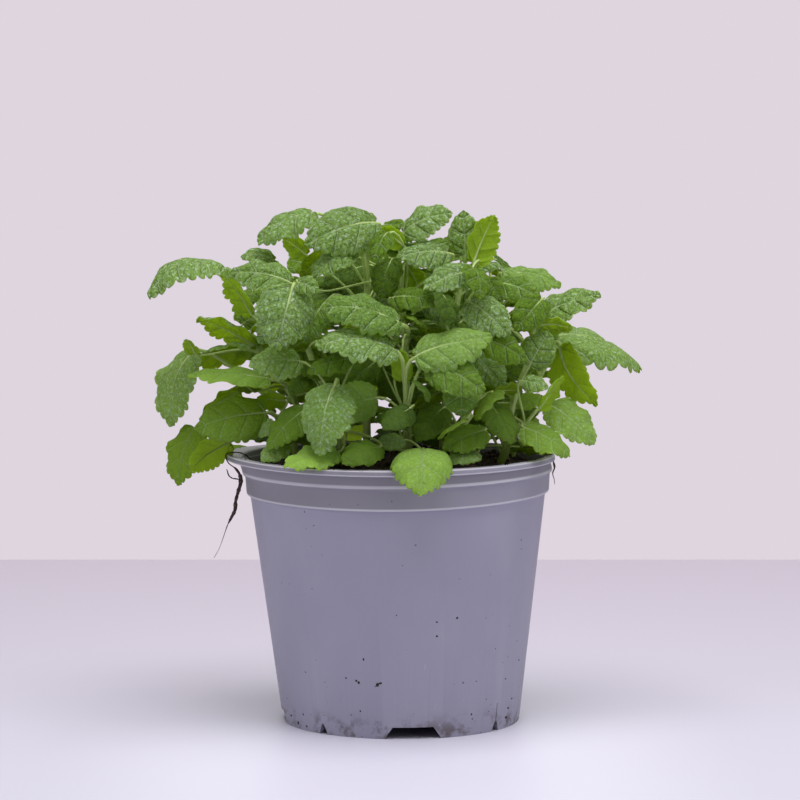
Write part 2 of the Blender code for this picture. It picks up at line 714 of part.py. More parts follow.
def is_sound(body):
    """Whether the mesh stays closed once points nearer than the weld distance are one."""
    spots = {vert: tuple(round(c / WELD) for c in vert.co) for vert in body.verts}
    used = {}
    for face in body.faces:
        ring = [spots[vert] for vert in face.verts]
        if len(set(ring)) < 3:
            continue
        for a, b in zip(ring, ring[1:] + ring[:1]):
            used[(a, b)] = used.get((a, b), 0) + 1
    return all(count == 1 and used.get((b, a)) == 1 for (a, b), count in used.items())


def shoot_object(name, shoot, leaves, templates, section, plant, green):
    """One shoot: stem, stalks and blades joined into one body."""
    for solver, fuller, split in ATTEMPTS:
        pieces = collection_of(name + "_pieces")
        for i, leaf in enumerate(leaves):
            new_object(f"{name}_stalk_{i}", stalk_mesh(leaf, fuller, section), pieces)
            new_object(f"{name}_blade_{i}", blade_mesh(leaf, templates), pieces)
        made = new_object(name, stem_mesh(shoot), plant, green)
        add_boolean(made, pieces, "UNION", solver)
        apply_modifiers(made)
        remove_collection(pieces)
        clean = bmesh.new()
        clean.from_mesh(made.data)
        fill_pockets(clean)
        bmesh.ops.triangulate(clean, faces=clean.faces[:], ngon_method=split)
        sound = is_sound(clean)
        clean.to_mesh(made.data)
        clean.free()
        if sound:
            shade_round(made.data)
            return made
        bpy.data.objects.remove(made)
    raise RuntimeError(name + " doesn't join into one closed body")


def turned(name, profile, sides, collection, finish):
    """A body turned from a profile of (radius, z) that runs down its outside and back to the axis."""
    mesh = bpy.data.meshes.new(name)
    section = bmesh.new()
    points = [section.verts.new((radius, 0, z)) for radius, z in profile]
    for a, b in zip(points, points[1:]):
        section.edges.new((a, b))
    section.to_mesh(mesh)
    section.free()
    made = bpy.data.objects.new(name, mesh)
    collection.objects.link(made)
    mesh.materials.append(finish)
    spin = made.modifiers.new("Turn", "SCREW")
    spin.steps = spin.render_steps = sides
    spin.use_merge_vertices = True
    spin.merge_threshold = 0.00001
    spin.use_smooth_shade = True
    return made


def wall_radius(z):
    """The plain wall's outer radius at this height."""
    return FOOT_RADIUS + (BODY_TOP_RADIUS - FOOT_RADIUS) * z / LOWER_LEDGE_Z


def pot_profile():
    """The pot's section: up the inside from the axis, over the lip, down the outside and in below."""
    outside = [
        (LIP_RADIUS - 0.5 * MM, POT_HEIGHT),
        (LIP_RADIUS, POT_HEIGHT - 0.6 * MM),
        (LIP_RADIUS, POT_HEIGHT - LIP_DEPTH + 0.5 * MM),
        (LIP_RADIUS - 0.5 * MM, POT_HEIGHT - LIP_DEPTH),
        (NECK_RADIUS, POT_HEIGHT - LIP_DEPTH),
        (UPPER_LEDGE_RADIUS, UPPER_LEDGE_Z),
        (COLLAR_RADIUS, UPPER_LEDGE_Z - 0.6 * MM),
        (LOWER_LEDGE_RADIUS, LOWER_LEDGE_Z),
        (wall_radius(LOWER_LEDGE_Z - 0.8 * MM), LOWER_LEDGE_Z - 0.8 * MM),
        (wall_radius(0), 0),
        (FOOT_RADIUS - FOOT_RING, 0),
        (FOOT_RADIUS - FOOT_RING - 0.2 * MM, FLOOR_UNDERSIDE_Z),
        (0.0, FLOOR_UNDERSIDE_Z),
    ]
    inside = [
        (0.0, FLOOR_TOP_Z),
        (wall_radius(FLOOR_TOP_Z) - WALL * 1.3, FLOOR_TOP_Z),
        (wall_radius(90 * MM) - WALL, 90 * MM),
        (COLLAR_RADIUS - WALL, UPPER_LEDGE_Z - 3 * MM),
        (NECK_RADIUS - WALL, POT_HEIGHT - 0.5 * MM),
        (NECK_RADIUS - WALL + 0.5 * MM, POT_HEIGHT),
    ]
    return inside + outside


def notch_cutter(name, turn, foot_width, top_width, height, inner, cutters):
    """A wedge that cuts one notch out of the foot, wider at the table."""
    below = 2 * MM
    lower = foot_width + (foot_width - top_width) * below / height
    depth = FOOT_RADIUS + 6 * MM - inner
    body = bmesh.new()
    size = Matrix.Diagonal((lower, depth, height + below, 1))
    place = Matrix.Translation((0, -inner - depth / 2, (height - below) / 2))
    bmesh.ops.create_cube(body, size=1.0, matrix=place @ size)
    for vert in body.verts:
        if vert.co.z > 0:
            vert.co.x *= top_width / lower
    bmesh.ops.rotate(body, verts=body.verts[:], cent=(0, 0, 0), matrix=Matrix.Rotation(turn, 3, "Z"))
    made = new_object(name, body, cutters)
    made.hide_render = True
    made.display_type = "WIRE"
    return made


def pot_object(plant, cutters, plastic):
    made = turned("pot", pot_profile(), POT_SIDES, plant, plastic)
    for i in range(4):
        turn = NOTCH_TURN + math.pi / 2 * i
        notch_cutter(f"wide_notch_{i}", turn, NOTCH_FOOT_WIDTH, NOTCH_TOP_WIDTH, NOTCH_HEIGHT,
                     NOTCH_INNER_RADIUS, cutters)
        notch_cutter(f"slit_{i}", turn + math.pi / 4, SLIT_FOOT_WIDTH, SLIT_TOP_WIDTH, SLIT_HEIGHT,
                     SLIT_INNER_RADIUS, cutters)
    add_boolean(made, cutters, "DIFFERENCE")
    apply_modifiers(made)
    shade_round(made.data)
    return made


def soil_object(plant, holes, dark):
    """The soil: a turned plug that fills the pot, raised to a lumpy mound, with a hole for each stem."""
    reach = COLLAR_RADIUS - WALL - CLEARANCE + 0.2 * MM
    crown = [(reach * (ring / SOIL_RINGS) ** 0.9, SOIL_RIM_Z) for ring in range(SOIL_RINGS + 1)]
    plug = []
    for z in (90 * MM, FLOOR_TOP_Z + CLEARANCE):
        plug.append((wall_radius(z) - WALL * (1.3 if z < 10 * MM else 1.0) - CLEARANCE - 0.2 * MM, z))
    made = turned("soil", crown + plug + [(0.0, FLOOR_TOP_Z + CLEARANCE)], SOIL_SIDES, plant, dark)
    apply_modifiers(made)
    for vert in made.data.vertices:
        if vert.co.z > SOIL_RIM_Z - 0.1 * MM:
            vert.co.z = soil_height(vert.co.x, vert.co.y)
    radius = STEM_FOOT_RADIUS * 1.16 + 0.4 * MM
    for name, shoot in SHOOTS.items():
        root = stem_point(shoot, 0)
        place = Matrix.Translation((root.x, root.y, root.z - STEM_DEPTH - 0.6 * MM + 10 * MM))
        hole = bmesh.new()
        bmesh.ops.create_cone(hole, cap_ends=True, segments=6, radius1=radius, radius2=radius,
                              depth=20 * MM, matrix=place)
        cutter = new_object(name + "_hole", hole, holes)
        cutter.hide_render = True
        cutter.display_type = "WIRE"
    add_boolean(made, holes, "DIFFERENCE")
    apply_modifiers(made)
    return made


# The dead root, as (x, z) in millimetres: up out of the soil, over the lip, and down beside the collar
ROOT_LINE = ((-55.5, 105.2), (-59.5, 106.2), (-62.2, 107.9), (-64.9, 107.3), (-65.5, 104), (-64.9, 98), (-66, 91),
             (-67, 86), (-69.5, 81), (-71, 77), (-73.5, 71), (-75.5, 67))
ROOT_DEPTH = -12
ROOT_THICK = 0.75 * MM
ROOT_THIN = 0.3 * MM


def root_object(plant, brown):
    points = [Vector((x, ROOT_DEPTH, z)) * MM for x, z in ROOT_LINE]
    last = len(points) - 1
    radii = [ROOT_THICK + (ROOT_THIN - ROOT_THICK) * (i / last) ** 1.2 for i in range(last + 1)]
    made = tube_curve("hanging_root", points, radii)
    made.data.bevel_resolution = 1
    made.data.materials.append(brown)
    plant.objects.link(made)
    return made


def ring_of(radius, z):
    return [Vector((math.cos(a) * radius, math.sin(a) * radius, z))
            for a in (2 * math.pi * k / 32 for k in range(32))]


def main():
    for startup in list(bpy.data.objects):
        bpy.data.objects.remove(startup)
    plant = collection_of("potted_lemon_balm")
    cutters = collection_of("notch_cutters")
    holes = collection_of("stem_holes")
    plastic = material("pot_plastic", (0.25, 0.23, 0.3), 0.45)
    dark = material("potting_soil", (0.03, 0.02, 0.012), 0.95)
    green = material("leaf_green", (0.09, 0.2, 0.03), 0.5)
    brown = material("dead_root", (0.06, 0.035, 0.02), 0.9)

    pot_object(plant, cutters, plastic)
    soil = soil_object(plant, holes, dark)
    root_object(plant, brown)

    outside = POT_HEIGHT - 12 * MM
    lip = shell_tree([ring_of(LIP_RADIUS + 0.4 * MM, outside), ring_of(LIP_RADIUS + 0.4 * MM, POT_HEIGHT + 0.3 * MM),
                      ring_of(NECK_RADIUS - 3 * MM, POT_HEIGHT + 0.3 * MM)])
    wall = shell_tree([ring_of(52 * MM, 10 * MM), ring_of(62.5 * MM, outside)])
    mound = bmesh.new()
    mound.from_mesh(soil.data)
    mound_tree = BVHTree.FromBMesh(mound)
    mound.free()

    placed = place_leaves([lip, wall, mound_tree])
    templates = {teeth: blade_template(teeth, joints) for teeth, joints in ((5, 2), (4, 1), (3, 1))}
    section = stalk_section()
    for name, shoot in SHOOTS.items():
        shoot_object(name, shoot, placed[name], templates, section, plant, green)
    bpy.data.objects.remove(section)


main()
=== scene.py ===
# %% [markdown]
# # Lemon balm in a plastic nursery pot
#
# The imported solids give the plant's plan: a pot, a mound of soil, and eighteen leafy shoots.
# This lesson dresses them. Each shoot is grown again from the same plan with fine, quilted,
# round-toothed blades, and the pot, the soil and the dead root are made again with the small
# shapes that a camera sees from a step away.

import json
import math
import random
from typing import NamedTuple

import bmesh
import bpy
import numpy as np
from mathutils import Matrix, Vector, noise
from mathutils.bvhtree import BVHTree

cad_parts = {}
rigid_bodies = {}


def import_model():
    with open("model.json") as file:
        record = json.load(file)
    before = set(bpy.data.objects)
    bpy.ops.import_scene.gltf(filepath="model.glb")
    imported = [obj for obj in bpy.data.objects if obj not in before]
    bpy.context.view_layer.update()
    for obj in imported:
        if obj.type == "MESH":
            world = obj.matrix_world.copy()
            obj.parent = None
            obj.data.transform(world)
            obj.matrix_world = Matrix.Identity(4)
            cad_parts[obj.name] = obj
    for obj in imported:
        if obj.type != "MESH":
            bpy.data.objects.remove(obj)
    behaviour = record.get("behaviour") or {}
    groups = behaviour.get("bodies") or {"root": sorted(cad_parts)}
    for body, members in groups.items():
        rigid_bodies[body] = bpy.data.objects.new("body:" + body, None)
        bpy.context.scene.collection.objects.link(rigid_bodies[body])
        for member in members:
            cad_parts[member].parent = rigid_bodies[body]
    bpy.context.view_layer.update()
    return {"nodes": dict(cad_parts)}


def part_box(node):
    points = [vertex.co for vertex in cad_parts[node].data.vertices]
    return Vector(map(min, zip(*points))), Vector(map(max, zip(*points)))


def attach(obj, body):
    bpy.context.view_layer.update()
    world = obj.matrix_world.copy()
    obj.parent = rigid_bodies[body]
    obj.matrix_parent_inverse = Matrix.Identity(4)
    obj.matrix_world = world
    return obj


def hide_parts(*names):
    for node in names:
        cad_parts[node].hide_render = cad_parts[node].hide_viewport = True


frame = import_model()
scene = bpy.context.scene
MM = 0.001
# A whole turn in radians, as the solids' plan draws it
FULL_TURN = 6.28


# %% [markdown]
# ## Camera
#
# The plant was photographed from the height of its top leaves, looking a little down. A long
# lens more than a metre away keeps the pot's sides nearly straight, so the camera stands at
# that place and the same lens is given, rather than moving a short lens in.

# %% Camera
EYE = Vector((0.0, -1133.0, 209.5)) * MM
LOOK_DOWN = 0.07
LENS = 125.8
SENSOR_WIDTH = 36.0
# The plant stands this far to the right of the picture's middle
CAMERA_ASIDE = Vector((0.4 * MM, 0, 0))

camera_data = bpy.data.cameras.new("camera")
camera_data.lens = LENS
camera_data.sensor_width = SENSOR_WIDTH
camera_data.clip_start = 0.05
camera = bpy.data.objects.new("camera", camera_data)
camera.location = EYE - CAMERA_ASIDE
camera.rotation_euler = (math.pi / 2 - LOOK_DOWN, 0, 0)
scene.collection.objects.link(camera)
scene.camera = camera

# %% [markdown]
# ## Shader sums as Python sums
#
# A finish is a sum of noises, masks and colours. Wired by hand it takes dozens of Math nodes,
# and the sum can't be read afterwards. Here a small class wraps an output socket and has the
# arithmetic operators, so a line of Python adds the nodes and still reads as a formula.

# %% Wires and finishes
class Wire:
    """A node's output. Each sum with it adds the Math node that works the sum out."""

    def __init__(self, finish, socket):
        self.finish, self.socket = finish, socket

    def calc(self, operation, *values):
        """One Math node, with these values or wires on its sockets."""
        return self.finish.node("ShaderNodeMath", {"operation": operation}, dict(enumerate(values)))

    def __add__(self, other):
        return self.calc("ADD", self, other)

    def __radd__(self, other):
        return self.calc("ADD", other, self)

    def __sub__(self, other):
        return self.calc("SUBTRACT", self, other)

    def __rsub__(self, other):
        return self.calc("SUBTRACT", other, self)

    def __mul__(self, other):
        return self.calc("MULTIPLY", self, other)

    def __rmul__(self, other):
        return self.calc("MULTIPLY", other, self)

    def __pow__(self, other):
        return self.calc("POWER", self, other)

    def __abs__(self):
        return self.calc("ABSOLUTE", self)

    def most(self, other):
        """The larger of the two."""
        return self.calc("MAXIMUM", self, other)

    def least(self, other):
        """The smaller of the two."""
        return self.calc("MINIMUM", self, other)

    def part(self):
        """What is left over a whole number."""
        return self.calc("FRACT", self)

    def fade(self, start, end):
        """0 up to start and 1 from end on, with a soft change between."""
        return self.finish.node("ShaderNodeMapRange", {"interpolation_type": "SMOOTHSTEP"},
                                {"Value": self, "From Min": start, "From Max": end})

    def ease(self, start, end):
        """As fade, but from 1 to 0."""
        sockets = {"Value": self, "From Min": start, "From Max": end, "To Min": 1.0, "To Max": 0.0}
        return self.finish.node("ShaderNodeMapRange", {"interpolation_type": "SMOOTHSTEP"}, sockets)


class Finish:
    """A material being made: its nodes, and its surface shader."""

    def __init__(self, name, **constants):
        self.material = bpy.data.materials.new(name)
        self.material.use_nodes = True
        self.tree = self.material.node_tree
        self.surface = self.tree.nodes["Principled BSDF"]
        for socket, value in constants.items():
            self.surface.inputs[socket.replace("_", " ")].default_value = value

    def node(self, kind, settings=None, inputs=None, output=0):
        """Adds any node: its settings first, then the values or wires of its sockets."""
        made = self.tree.nodes.new(kind)
        for name, value in (settings or {}).items():
            setattr(made, name, value)
        for place, value in (inputs or {}).items():
            if isinstance(value, Wire):
                self.tree.links.new(value.socket, made.inputs[place])
            else:
                made.inputs[place].default_value = value
        return Wire(self, made.outputs[output])

    def place(self):
        """Where the point is on the part, in metres."""
        return self.node("ShaderNodeTexCoord", output="Object")

    def axes(self, vector):
        """A vector's three numbers."""
        split = self.node("ShaderNodeSeparateXYZ", inputs={0: vector})
        return [Wire(self, split.socket.node.outputs[i]) for i in range(3)]

    def vector(self, x, y, z=0.0):
        """A vector of three numbers."""
        return self.node("ShaderNodeCombineXYZ", inputs={0: x, 1: y, 2: z})

    def stretch(self, vector, scale):
        """The vector with each of its axes multiplied."""
        return self.node("ShaderNodeVectorMath", {"operation": "MULTIPLY"}, {0: vector, 1: scale})

    def grain(self, vector, scale, detail=2.0, roughness=0.5):
        """Soft noise from 0 to 1 with this many lumps to one unit of the vector."""
        sockets = {"Vector": vector, "Scale": scale, "Detail": detail, "Roughness": roughness}
        return self.node("ShaderNodeTexNoise", inputs=sockets)

    def edges(self, vector, scale):
        """How far it is to the border between two cells of an irregular net."""
        settings = {"feature": "DISTANCE_TO_EDGE", "voronoi_dimensions": "2D"}
        return self.node("ShaderNodeTexVoronoi", settings, {"Vector": vector, "Scale": scale})

    def sum(self, first, second):
        """Two vectors added."""
        return self.node("ShaderNodeVectorMath", {"operation": "ADD"}, {0: first, 1: second})

    def sway(self, vector, scale, reach):
        """Smooth steps aside, drawn by a noise, that are added to a vector to bend what lies on it."""
        steps = self.node("ShaderNodeTexNoise", inputs={"Vector": vector, "Scale": scale}, output=1)
        return self.stretch(steps, (reach, reach, 0.0))

    def number(self, attribute):
        """A number that is written on the mesh."""
        return self.node("ShaderNodeAttribute", {"attribute_name": attribute}, output="Fac")

    def map(self, name):
        """A flat map that is written on the mesh."""
        return self.node("ShaderNodeUVMap", {"uv_map": name})

    def mix(self, first, second, share):
        """Two colours mixed: share is how much of the second."""
        first, second = [c if isinstance(c, Wire) else (*c, 1.0) for c in (first, second)]
        return self.node("ShaderNodeMix", {"data_type": "RGBA"}, {0: share, 6: first, 7: second}, output=2)

    def feed(self, socket, wire):
        """Leads a wire into the surface shader."""
        self.tree.links.new(wire.socket, self.surface.inputs[socket])

    def relief(self, height, depth, strength=1.0):
        """Bends the shading as if the surface rose by depth where height is 1."""
        sockets = {"Height": height, "Distance": depth, "Strength": strength}
        self.feed("Normal", self.node("ShaderNodeBump", inputs=sockets))

    def let_through(self, colour, share):
        """Lets this share of the light pass the surface, coloured."""
        glow = self.node("ShaderNodeBsdfTranslucent", inputs={"Color": (*colour, 1.0)})
        plain = Wire(self, self.surface.outputs[0])
        both = self.node("ShaderNodeMixShader", inputs={0: share, 1: plain, 2: glow})
        self.tree.links.new(both.socket, self.tree.nodes["Material Output"].inputs["Surface"])


# %% [markdown]
# ## Studio
#
# The plant stands on a pale table in front of a pale wall, in soft light: a wide softbox over
# it, weaker ones to the right, the left and behind, and the room's own light. One lamp would
# give hard shadows among the leaves, so the lamps are as large as real softboxes. The table's
# colour changes a little towards the wall, and a pool of light is painted on it in a long oval
# about the foot, which lightens the shadows there.

# %% Table
TABLE_BACK = 0.507
TABLE_HALF_WIDTH = 1.6
TABLE_NEAR = (0.492, 0.478, 0.582)
TABLE_FAR = (0.457, 0.399, 0.502)
TABLE_PAINTED_LIGHT = (0.64, 0.625, 0.745)
PAINTED_LIGHT_AHEAD = 0.10

table_shape = bmesh.new()
bmesh.ops.create_grid(table_shape, x_segments=24, y_segments=24, size=TABLE_HALF_WIDTH,
                      matrix=Matrix.Translation((0, TABLE_BACK - TABLE_HALF_WIDTH, 0)))
table_mesh = bpy.data.meshes.new("table")
table_shape.to_mesh(table_mesh)
table_shape.free()
table = bpy.data.objects.new("table", table_mesh)
scene.collection.objects.link(table)
table_finish = Finish("pale_table", Roughness=0.5)
table_x, table_y, _ = table_finish.axes(table_finish.place())
table_colour = table_finish.mix(TABLE_NEAR, TABLE_FAR, table_y.fade(-0.25, 0.5))
# A painted pool of light: the table is paler in a long oval about the pot's foot
oval_y = table_y + PAINTED_LIGHT_AHEAD
from_foot = (table_x * table_x + oval_y * oval_y * 0.2) ** 0.5
table_colour = table_finish.mix(table_colour, TABLE_PAINTED_LIGHT, from_foot.ease(0.05, 0.14) * 0.68)
table_finish.feed("Base Color", table_colour)
table_mesh.materials.append(table_finish.material)

# %% Wall and room light
WALL_COLOUR = (0.735, 0.665, 0.735)
ROOM_LIGHT = (0.86, 0.84, 0.86)
ROOM_STRENGTH = 0.34

scene.view_settings.view_transform = "Standard"

room = bpy.data.worlds.new("room")
room.use_nodes = True
scene.world = room
sky, out = room.node_tree.nodes["Background"], room.node_tree.nodes["World Output"]
sky.inputs["Color"].default_value = (*ROOM_LIGHT, 1.0)
sky.inputs["Strength"].default_value = ROOM_STRENGTH
wall = room.node_tree.nodes.new("ShaderNodeBackground")
wall.inputs["Color"].default_value = (*WALL_COLOUR, 1.0)
seen = room.node_tree.nodes.new("ShaderNodeLightPath")
either = room.node_tree.nodes.new("ShaderNodeMixShader")
room.node_tree.links.new(seen.outputs["Is Camera Ray"], either.inputs[0])
room.node_tree.links.new(sky.outputs[0], either.inputs[1])
room.node_tree.links.new(wall.outputs[0], either.inputs[2])
room.node_tree.links.new(either.outputs[0], out.inputs["Surface"])

# %% Lamps
WARM_WHITE = (1.0, 0.99, 0.97)
WARMER_WHITE = (1.0, 0.99, 0.95)


def softbox(name, place, target, width, power, colour=(1, 1, 1)):
    """Adds a square lamp that is turned to its target: lengths in metres, power in watts."""
    lamp = bpy.data.lights.new(name, "AREA")
    lamp.shape = "SQUARE"
    lamp.size = width
    lamp.energy = power
    lamp.color = colour
    made = bpy.data.objects.new(name, lamp)
    made.location = place
    made.rotation_euler = (Vector(target) - Vector(place)).to_track_quat("-Z", "Y").to_euler()
    scene.collection.objects.link(made)


softbox("softbox_over", (0.13, -0.30, 1.5), (0, 0, 0.12), width=1.2, power=26.5, colour=WARM_WHITE)
softbox("softbox_right", (1.15, -0.85, 0.75), (0, 0, 0.12), width=0.9, power=5.2)
softbox("softbox_left", (-1.15, -0.75, 0.6), (0, 0, 0.10), width=0.9, power=4.8)
softbox("softbox_behind", (0.05, 1.6, 1.0), (0, 0, 0.15), width=2.0, power=9.0, colour=WARMER_WHITE)


# %% [markdown]
# ## Making a piece
#
# Every piece ends the same way: its mesh is written once, its finish is put on, and it is
# tied to the pot's body. A closed shape can come out of a spin or a mirror inside out, so
# there is one helper that looks at its volume and turns it if it must.

# %% Helpers for pieces
def face_out(body):
    """Turns the faces of a closed body outward."""
    bmesh.ops.recalc_face_normals(body, faces=body.faces[:])
    if body.calc_volume(signed=True) < 0:
        bmesh.ops.reverse_faces(body, faces=body.faces[:])
    return body


def piece(name, body, finishes, nodes=(), sharp=40):
    """Makes the object of a finished bmesh and ties it to the part."""
    mesh = bpy.data.meshes.new(name)
    body.to_mesh(mesh)
    body.free()
    for finish in finishes:
        mesh.materials.append(finish.material)
    mesh.shade_smooth()
    mesh.set_sharp_from_angle(angle=math.radians(sharp))
    made = bpy.data.objects.new(name, mesh)
    scene.collection.objects.link(made)
    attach(made, "root")
    if nodes:
        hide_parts(*nodes)
    mesh.calc_loop_triangles()
    print(name, len(mesh.loop_triangles), "triangles")


def evaluated_mesh(made):
    """The mesh that an object's curve or modifiers give, with the object removed."""
    scene.collection.objects.link(made)
    graph = bpy.context.evaluated_depsgraph_get()
    mesh = bpy.data.meshes.new_from_object(made.evaluated_get(graph))
    bpy.data.objects.remove(made)
    return mesh


# %% [markdown]
# ## Pot
#
# A nursery pot is blown or moulded thin: a flat lip turned outward, two small steps in the
# collar below it, a plain tapering wall and drain notches in the foot ring. It is round, so
# half its section is drawn once and spun. The section's corners are rounded before the spin,
# because a bevel on a line costs nothing and gives the lip its two bright edges.

# %% The pot's sizes
POT_HEIGHT = 106.5 * MM
LIP_RADIUS = 65.0 * MM
LIP_DEPTH = 2.6 * MM
NECK_RADIUS = 62.9 * MM
UPPER_LEDGE_RADIUS = 62.3 * MM
UPPER_LEDGE_Z = 100.7 * MM
COLLAR_RADIUS = 61.4 * MM
LOWER_LEDGE_RADIUS = 60.8 * MM
LOWER_LEDGE_Z = 92.2 * MM
BODY_TOP_RADIUS = 60.0 * MM
FOOT_RADIUS = 48.3 * MM
FOOT_RING = 2.4 * MM
WALL = 1.1 * MM
FLOOR_UNDERSIDE_Z = 3.4 * MM
FLOOR_TOP_Z = 4.6 * MM
COLLAR_FOOT_Z = 90 * MM
POT_STEPS = 192

NOTCH_HEIGHT = 4.7 * MM
NOTCH_FOOT_WIDTH = 22.5 * MM
NOTCH_TOP_WIDTH = 16.0 * MM
NOTCH_INNER_RADIUS = 36.0 * MM
SLIT_HEIGHT = 4.0 * MM
SLIT_FOOT_WIDTH = 4.4 * MM
SLIT_TOP_WIDTH = 1.2 * MM
SLIT_INNER_RADIUS = 42.0 * MM
CRACK_HEIGHT = 11.5 * MM
CRACK_WIDTH = 0.55 * MM
NOTCH_TURN = math.radians(5.7)


def wall_radius(z):
    """The plain wall's outer radius at this height."""
    return FOOT_RADIUS + (BODY_TOP_RADIUS - FOOT_RADIUS) * z / LOWER_LEDGE_Z


# %% The pot's section, spun
def pot_section():
    """Up the inside from the axis, over the lip, down the outside and in below."""
    inside = [
        (0.0, FLOOR_TOP_Z),
        (wall_radius(FLOOR_TOP_Z) - WALL * 1.3, FLOOR_TOP_Z),
        (wall_radius(COLLAR_FOOT_Z) - WALL, COLLAR_FOOT_Z),
        (COLLAR_RADIUS - WALL, UPPER_LEDGE_Z - 3 * MM),
        (NECK_RADIUS - WALL, POT_HEIGHT - 0.5 * MM),
        (NECK_RADIUS - WALL + 0.5 * MM, POT_HEIGHT),
    ]
    outside = [
        (LIP_RADIUS - 0.1 * MM, POT_HEIGHT - 0.15 * MM),
        (LIP_RADIUS, POT_HEIGHT - LIP_DEPTH + 0.2 * MM),
        (LIP_RADIUS - 0.5 * MM, POT_HEIGHT - LIP_DEPTH),
        (NECK_RADIUS, POT_HEIGHT - LIP_DEPTH - 0.1 * MM),
        (UPPER_LEDGE_RADIUS + 0.15 * MM, UPPER_LEDGE_Z + 0.4 * MM),
        (UPPER_LEDGE_RADIUS + 0.1 * MM, UPPER_LEDGE_Z - 0.2 * MM),
        (COLLAR_RADIUS, UPPER_LEDGE_Z - 1.0 * MM),
        (LOWER_LEDGE_RADIUS + 0.15 * MM, LOWER_LEDGE_Z + 0.4 * MM),
        (LOWER_LEDGE_RADIUS + 0.1 * MM, LOWER_LEDGE_Z - 0.2 * MM),
        (wall_radius(LOWER_LEDGE_Z - 1.1 * MM), LOWER_LEDGE_Z - 1.1 * MM),
        (wall_radius(0), 0),
        (FOOT_RADIUS - FOOT_RING, 0),
        (FOOT_RADIUS - FOOT_RING - 0.2 * MM, FLOOR_UNDERSIDE_Z),
        (0.0, FLOOR_UNDERSIDE_Z),
    ]
    return inside + outside


def spun(section, steps, rounding):
    """A closed body spun from a section of (radius, z), its corners rounded by this much."""
    body = bmesh.new()
    points = [body.verts.new((radius, 0, z)) for radius, z in section]
    for a, b in zip(points, points[1:]):
        body.edges.new((a, b))
    corners = [v for v in body.verts if len(v.link_edges) == 2]
    if rounding:
        bmesh.ops.bevel(body, geom=corners, offset=rounding, offset_type="OFFSET", segments=3,
                        profile=0.5, affect="VERTICES", clamp_overlap=True, material=-1)
    bmesh.ops.spin(body, geom=body.verts[:] + body.edges[:], cent=(0, 0, 0), axis=(0, 0, 1),
                   angle=2 * math.pi, steps=steps, use_merge=True)
    bmesh.ops.remove_doubles(body, verts=body.verts[:], dist=0.002 * MM)
    return face_out(body)


def wedge(turn, foot_width, top_width, height, inner):
    """A cutter for one notch in the foot, wider at the table."""
    below = 2 * MM
    past_wall = 8 * MM
    lower = foot_width + (foot_width - top_width) * below / height
    depth = FOOT_RADIUS + past_wall - inner
    body = bmesh.new()
    size = Matrix.Diagonal((lower, depth, height + below, 1))
    middle = Matrix.Translation((0, -inner - depth / 2, (height - below) / 2))
    bmesh.ops.create_cube(body, size=1.0, matrix=middle @ size)
    for vert in body.verts:
        if vert.co.z > 0:
            vert.co.x *= top_width / lower
    bmesh.ops.rotate(body, verts=body.verts[:], cent=(0, 0, 0), matrix=Matrix.Rotation(turn, 3, "Z"))
    return body


def plain_object(name, body):
    """An object that is only a blank or a cutter, and isn't shown."""
    mesh = bpy.data.meshes.new(name)
    body.to_mesh(mesh)
    body.free()
    return bpy.data.objects.new(name, mesh)


pot_body = spun(pot_section(), POT_STEPS, 0.3 * MM)
pot_blank = plain_object("pot_blank", pot_body)
cutters = bpy.data.collections.new("notch_cutters")
for quarter in range(4):
    turn = NOTCH_TURN + math.pi / 2 * quarter
    notch = wedge(turn, NOTCH_FOOT_WIDTH, NOTCH_TOP_WIDTH, NOTCH_HEIGHT, NOTCH_INNER_RADIUS)
    slit = wedge(turn + math.pi / 4, SLIT_FOOT_WIDTH, SLIT_TOP_WIDTH, SLIT_HEIGHT, SLIT_INNER_RADIUS)
    cutters.objects.link(plain_object("notch", notch))
    cutters.objects.link(plain_object("slit", slit))
crack_turn, crack_inner = NOTCH_TURN + math.pi / 4, FOOT_RADIUS + 0.2 * MM
crack = wedge(crack_turn, CRACK_WIDTH, CRACK_WIDTH * 0.5, CRACK_HEIGHT, crack_inner)
cutters.objects.link(plain_object("crack", crack))
notching = pot_blank.modifiers.new("Notches", "BOOLEAN")
notching.operation = "DIFFERENCE"
notching.operand_type = "COLLECTION"
notching.collection = cutters
notching.solver = "EXACT"
pot_mesh = evaluated_mesh(pot_blank)
for cutter in list(cutters.objects):
    bpy.data.objects.remove(cutter)
bpy.data.collections.remove(cutters)
pot_body = bmesh.new()
pot_body.from_mesh(pot_mesh)
print("pot:", len(pot_body.faces), "faces")

# %% [markdown]
# ## The pot out of true
#
# The mould is round, but this pot isn't quite: it leans a little to the left, its lip was
# pulled out and up there by the hand that carried it, and its rim isn't level. The round body
# is made first, because its notches and rings are easy to cut there, and then every point is
# moved by one formula. Each point keeps its first height in an attribute, so that the finish
# can still find the edges.

# %% Lean and lip
LEAN = 1.3 * MM
LIP_PULL = 0.9 * MM
COLLAR_OUT = 0.5 * MM
# How far the neck and the lip stand out, in millimetres: everywhere, and what the right side adds
NECK_OUT, NECK_OUT_RIGHT = -0.25, -0.95
LIP_OUT, LIP_OUT_RIGHT, LIP_OUT_SIDES = 0.8, -1.75, 0.75
# A row for each height on the pot, in millimetres: how far the front is lifted there, what the
# right side adds, and what both sides add
RIM_LIFTS = np.array((
    (60, 0, 0, 0),
    (92.2, -0.9, 0.7, 1.8),
    (100.9, -0.6, 0.8, 1.2),
    (103.6, 1.0, 0.25, 0.8),
)) * MM


def rising(low, high, value):
    """0 up to low, 1 from high on, and smooth between them."""
    share = min(1.0, max(0.0, (value - low) / (high - low)))
    return share * share * (3 - 2 * share)


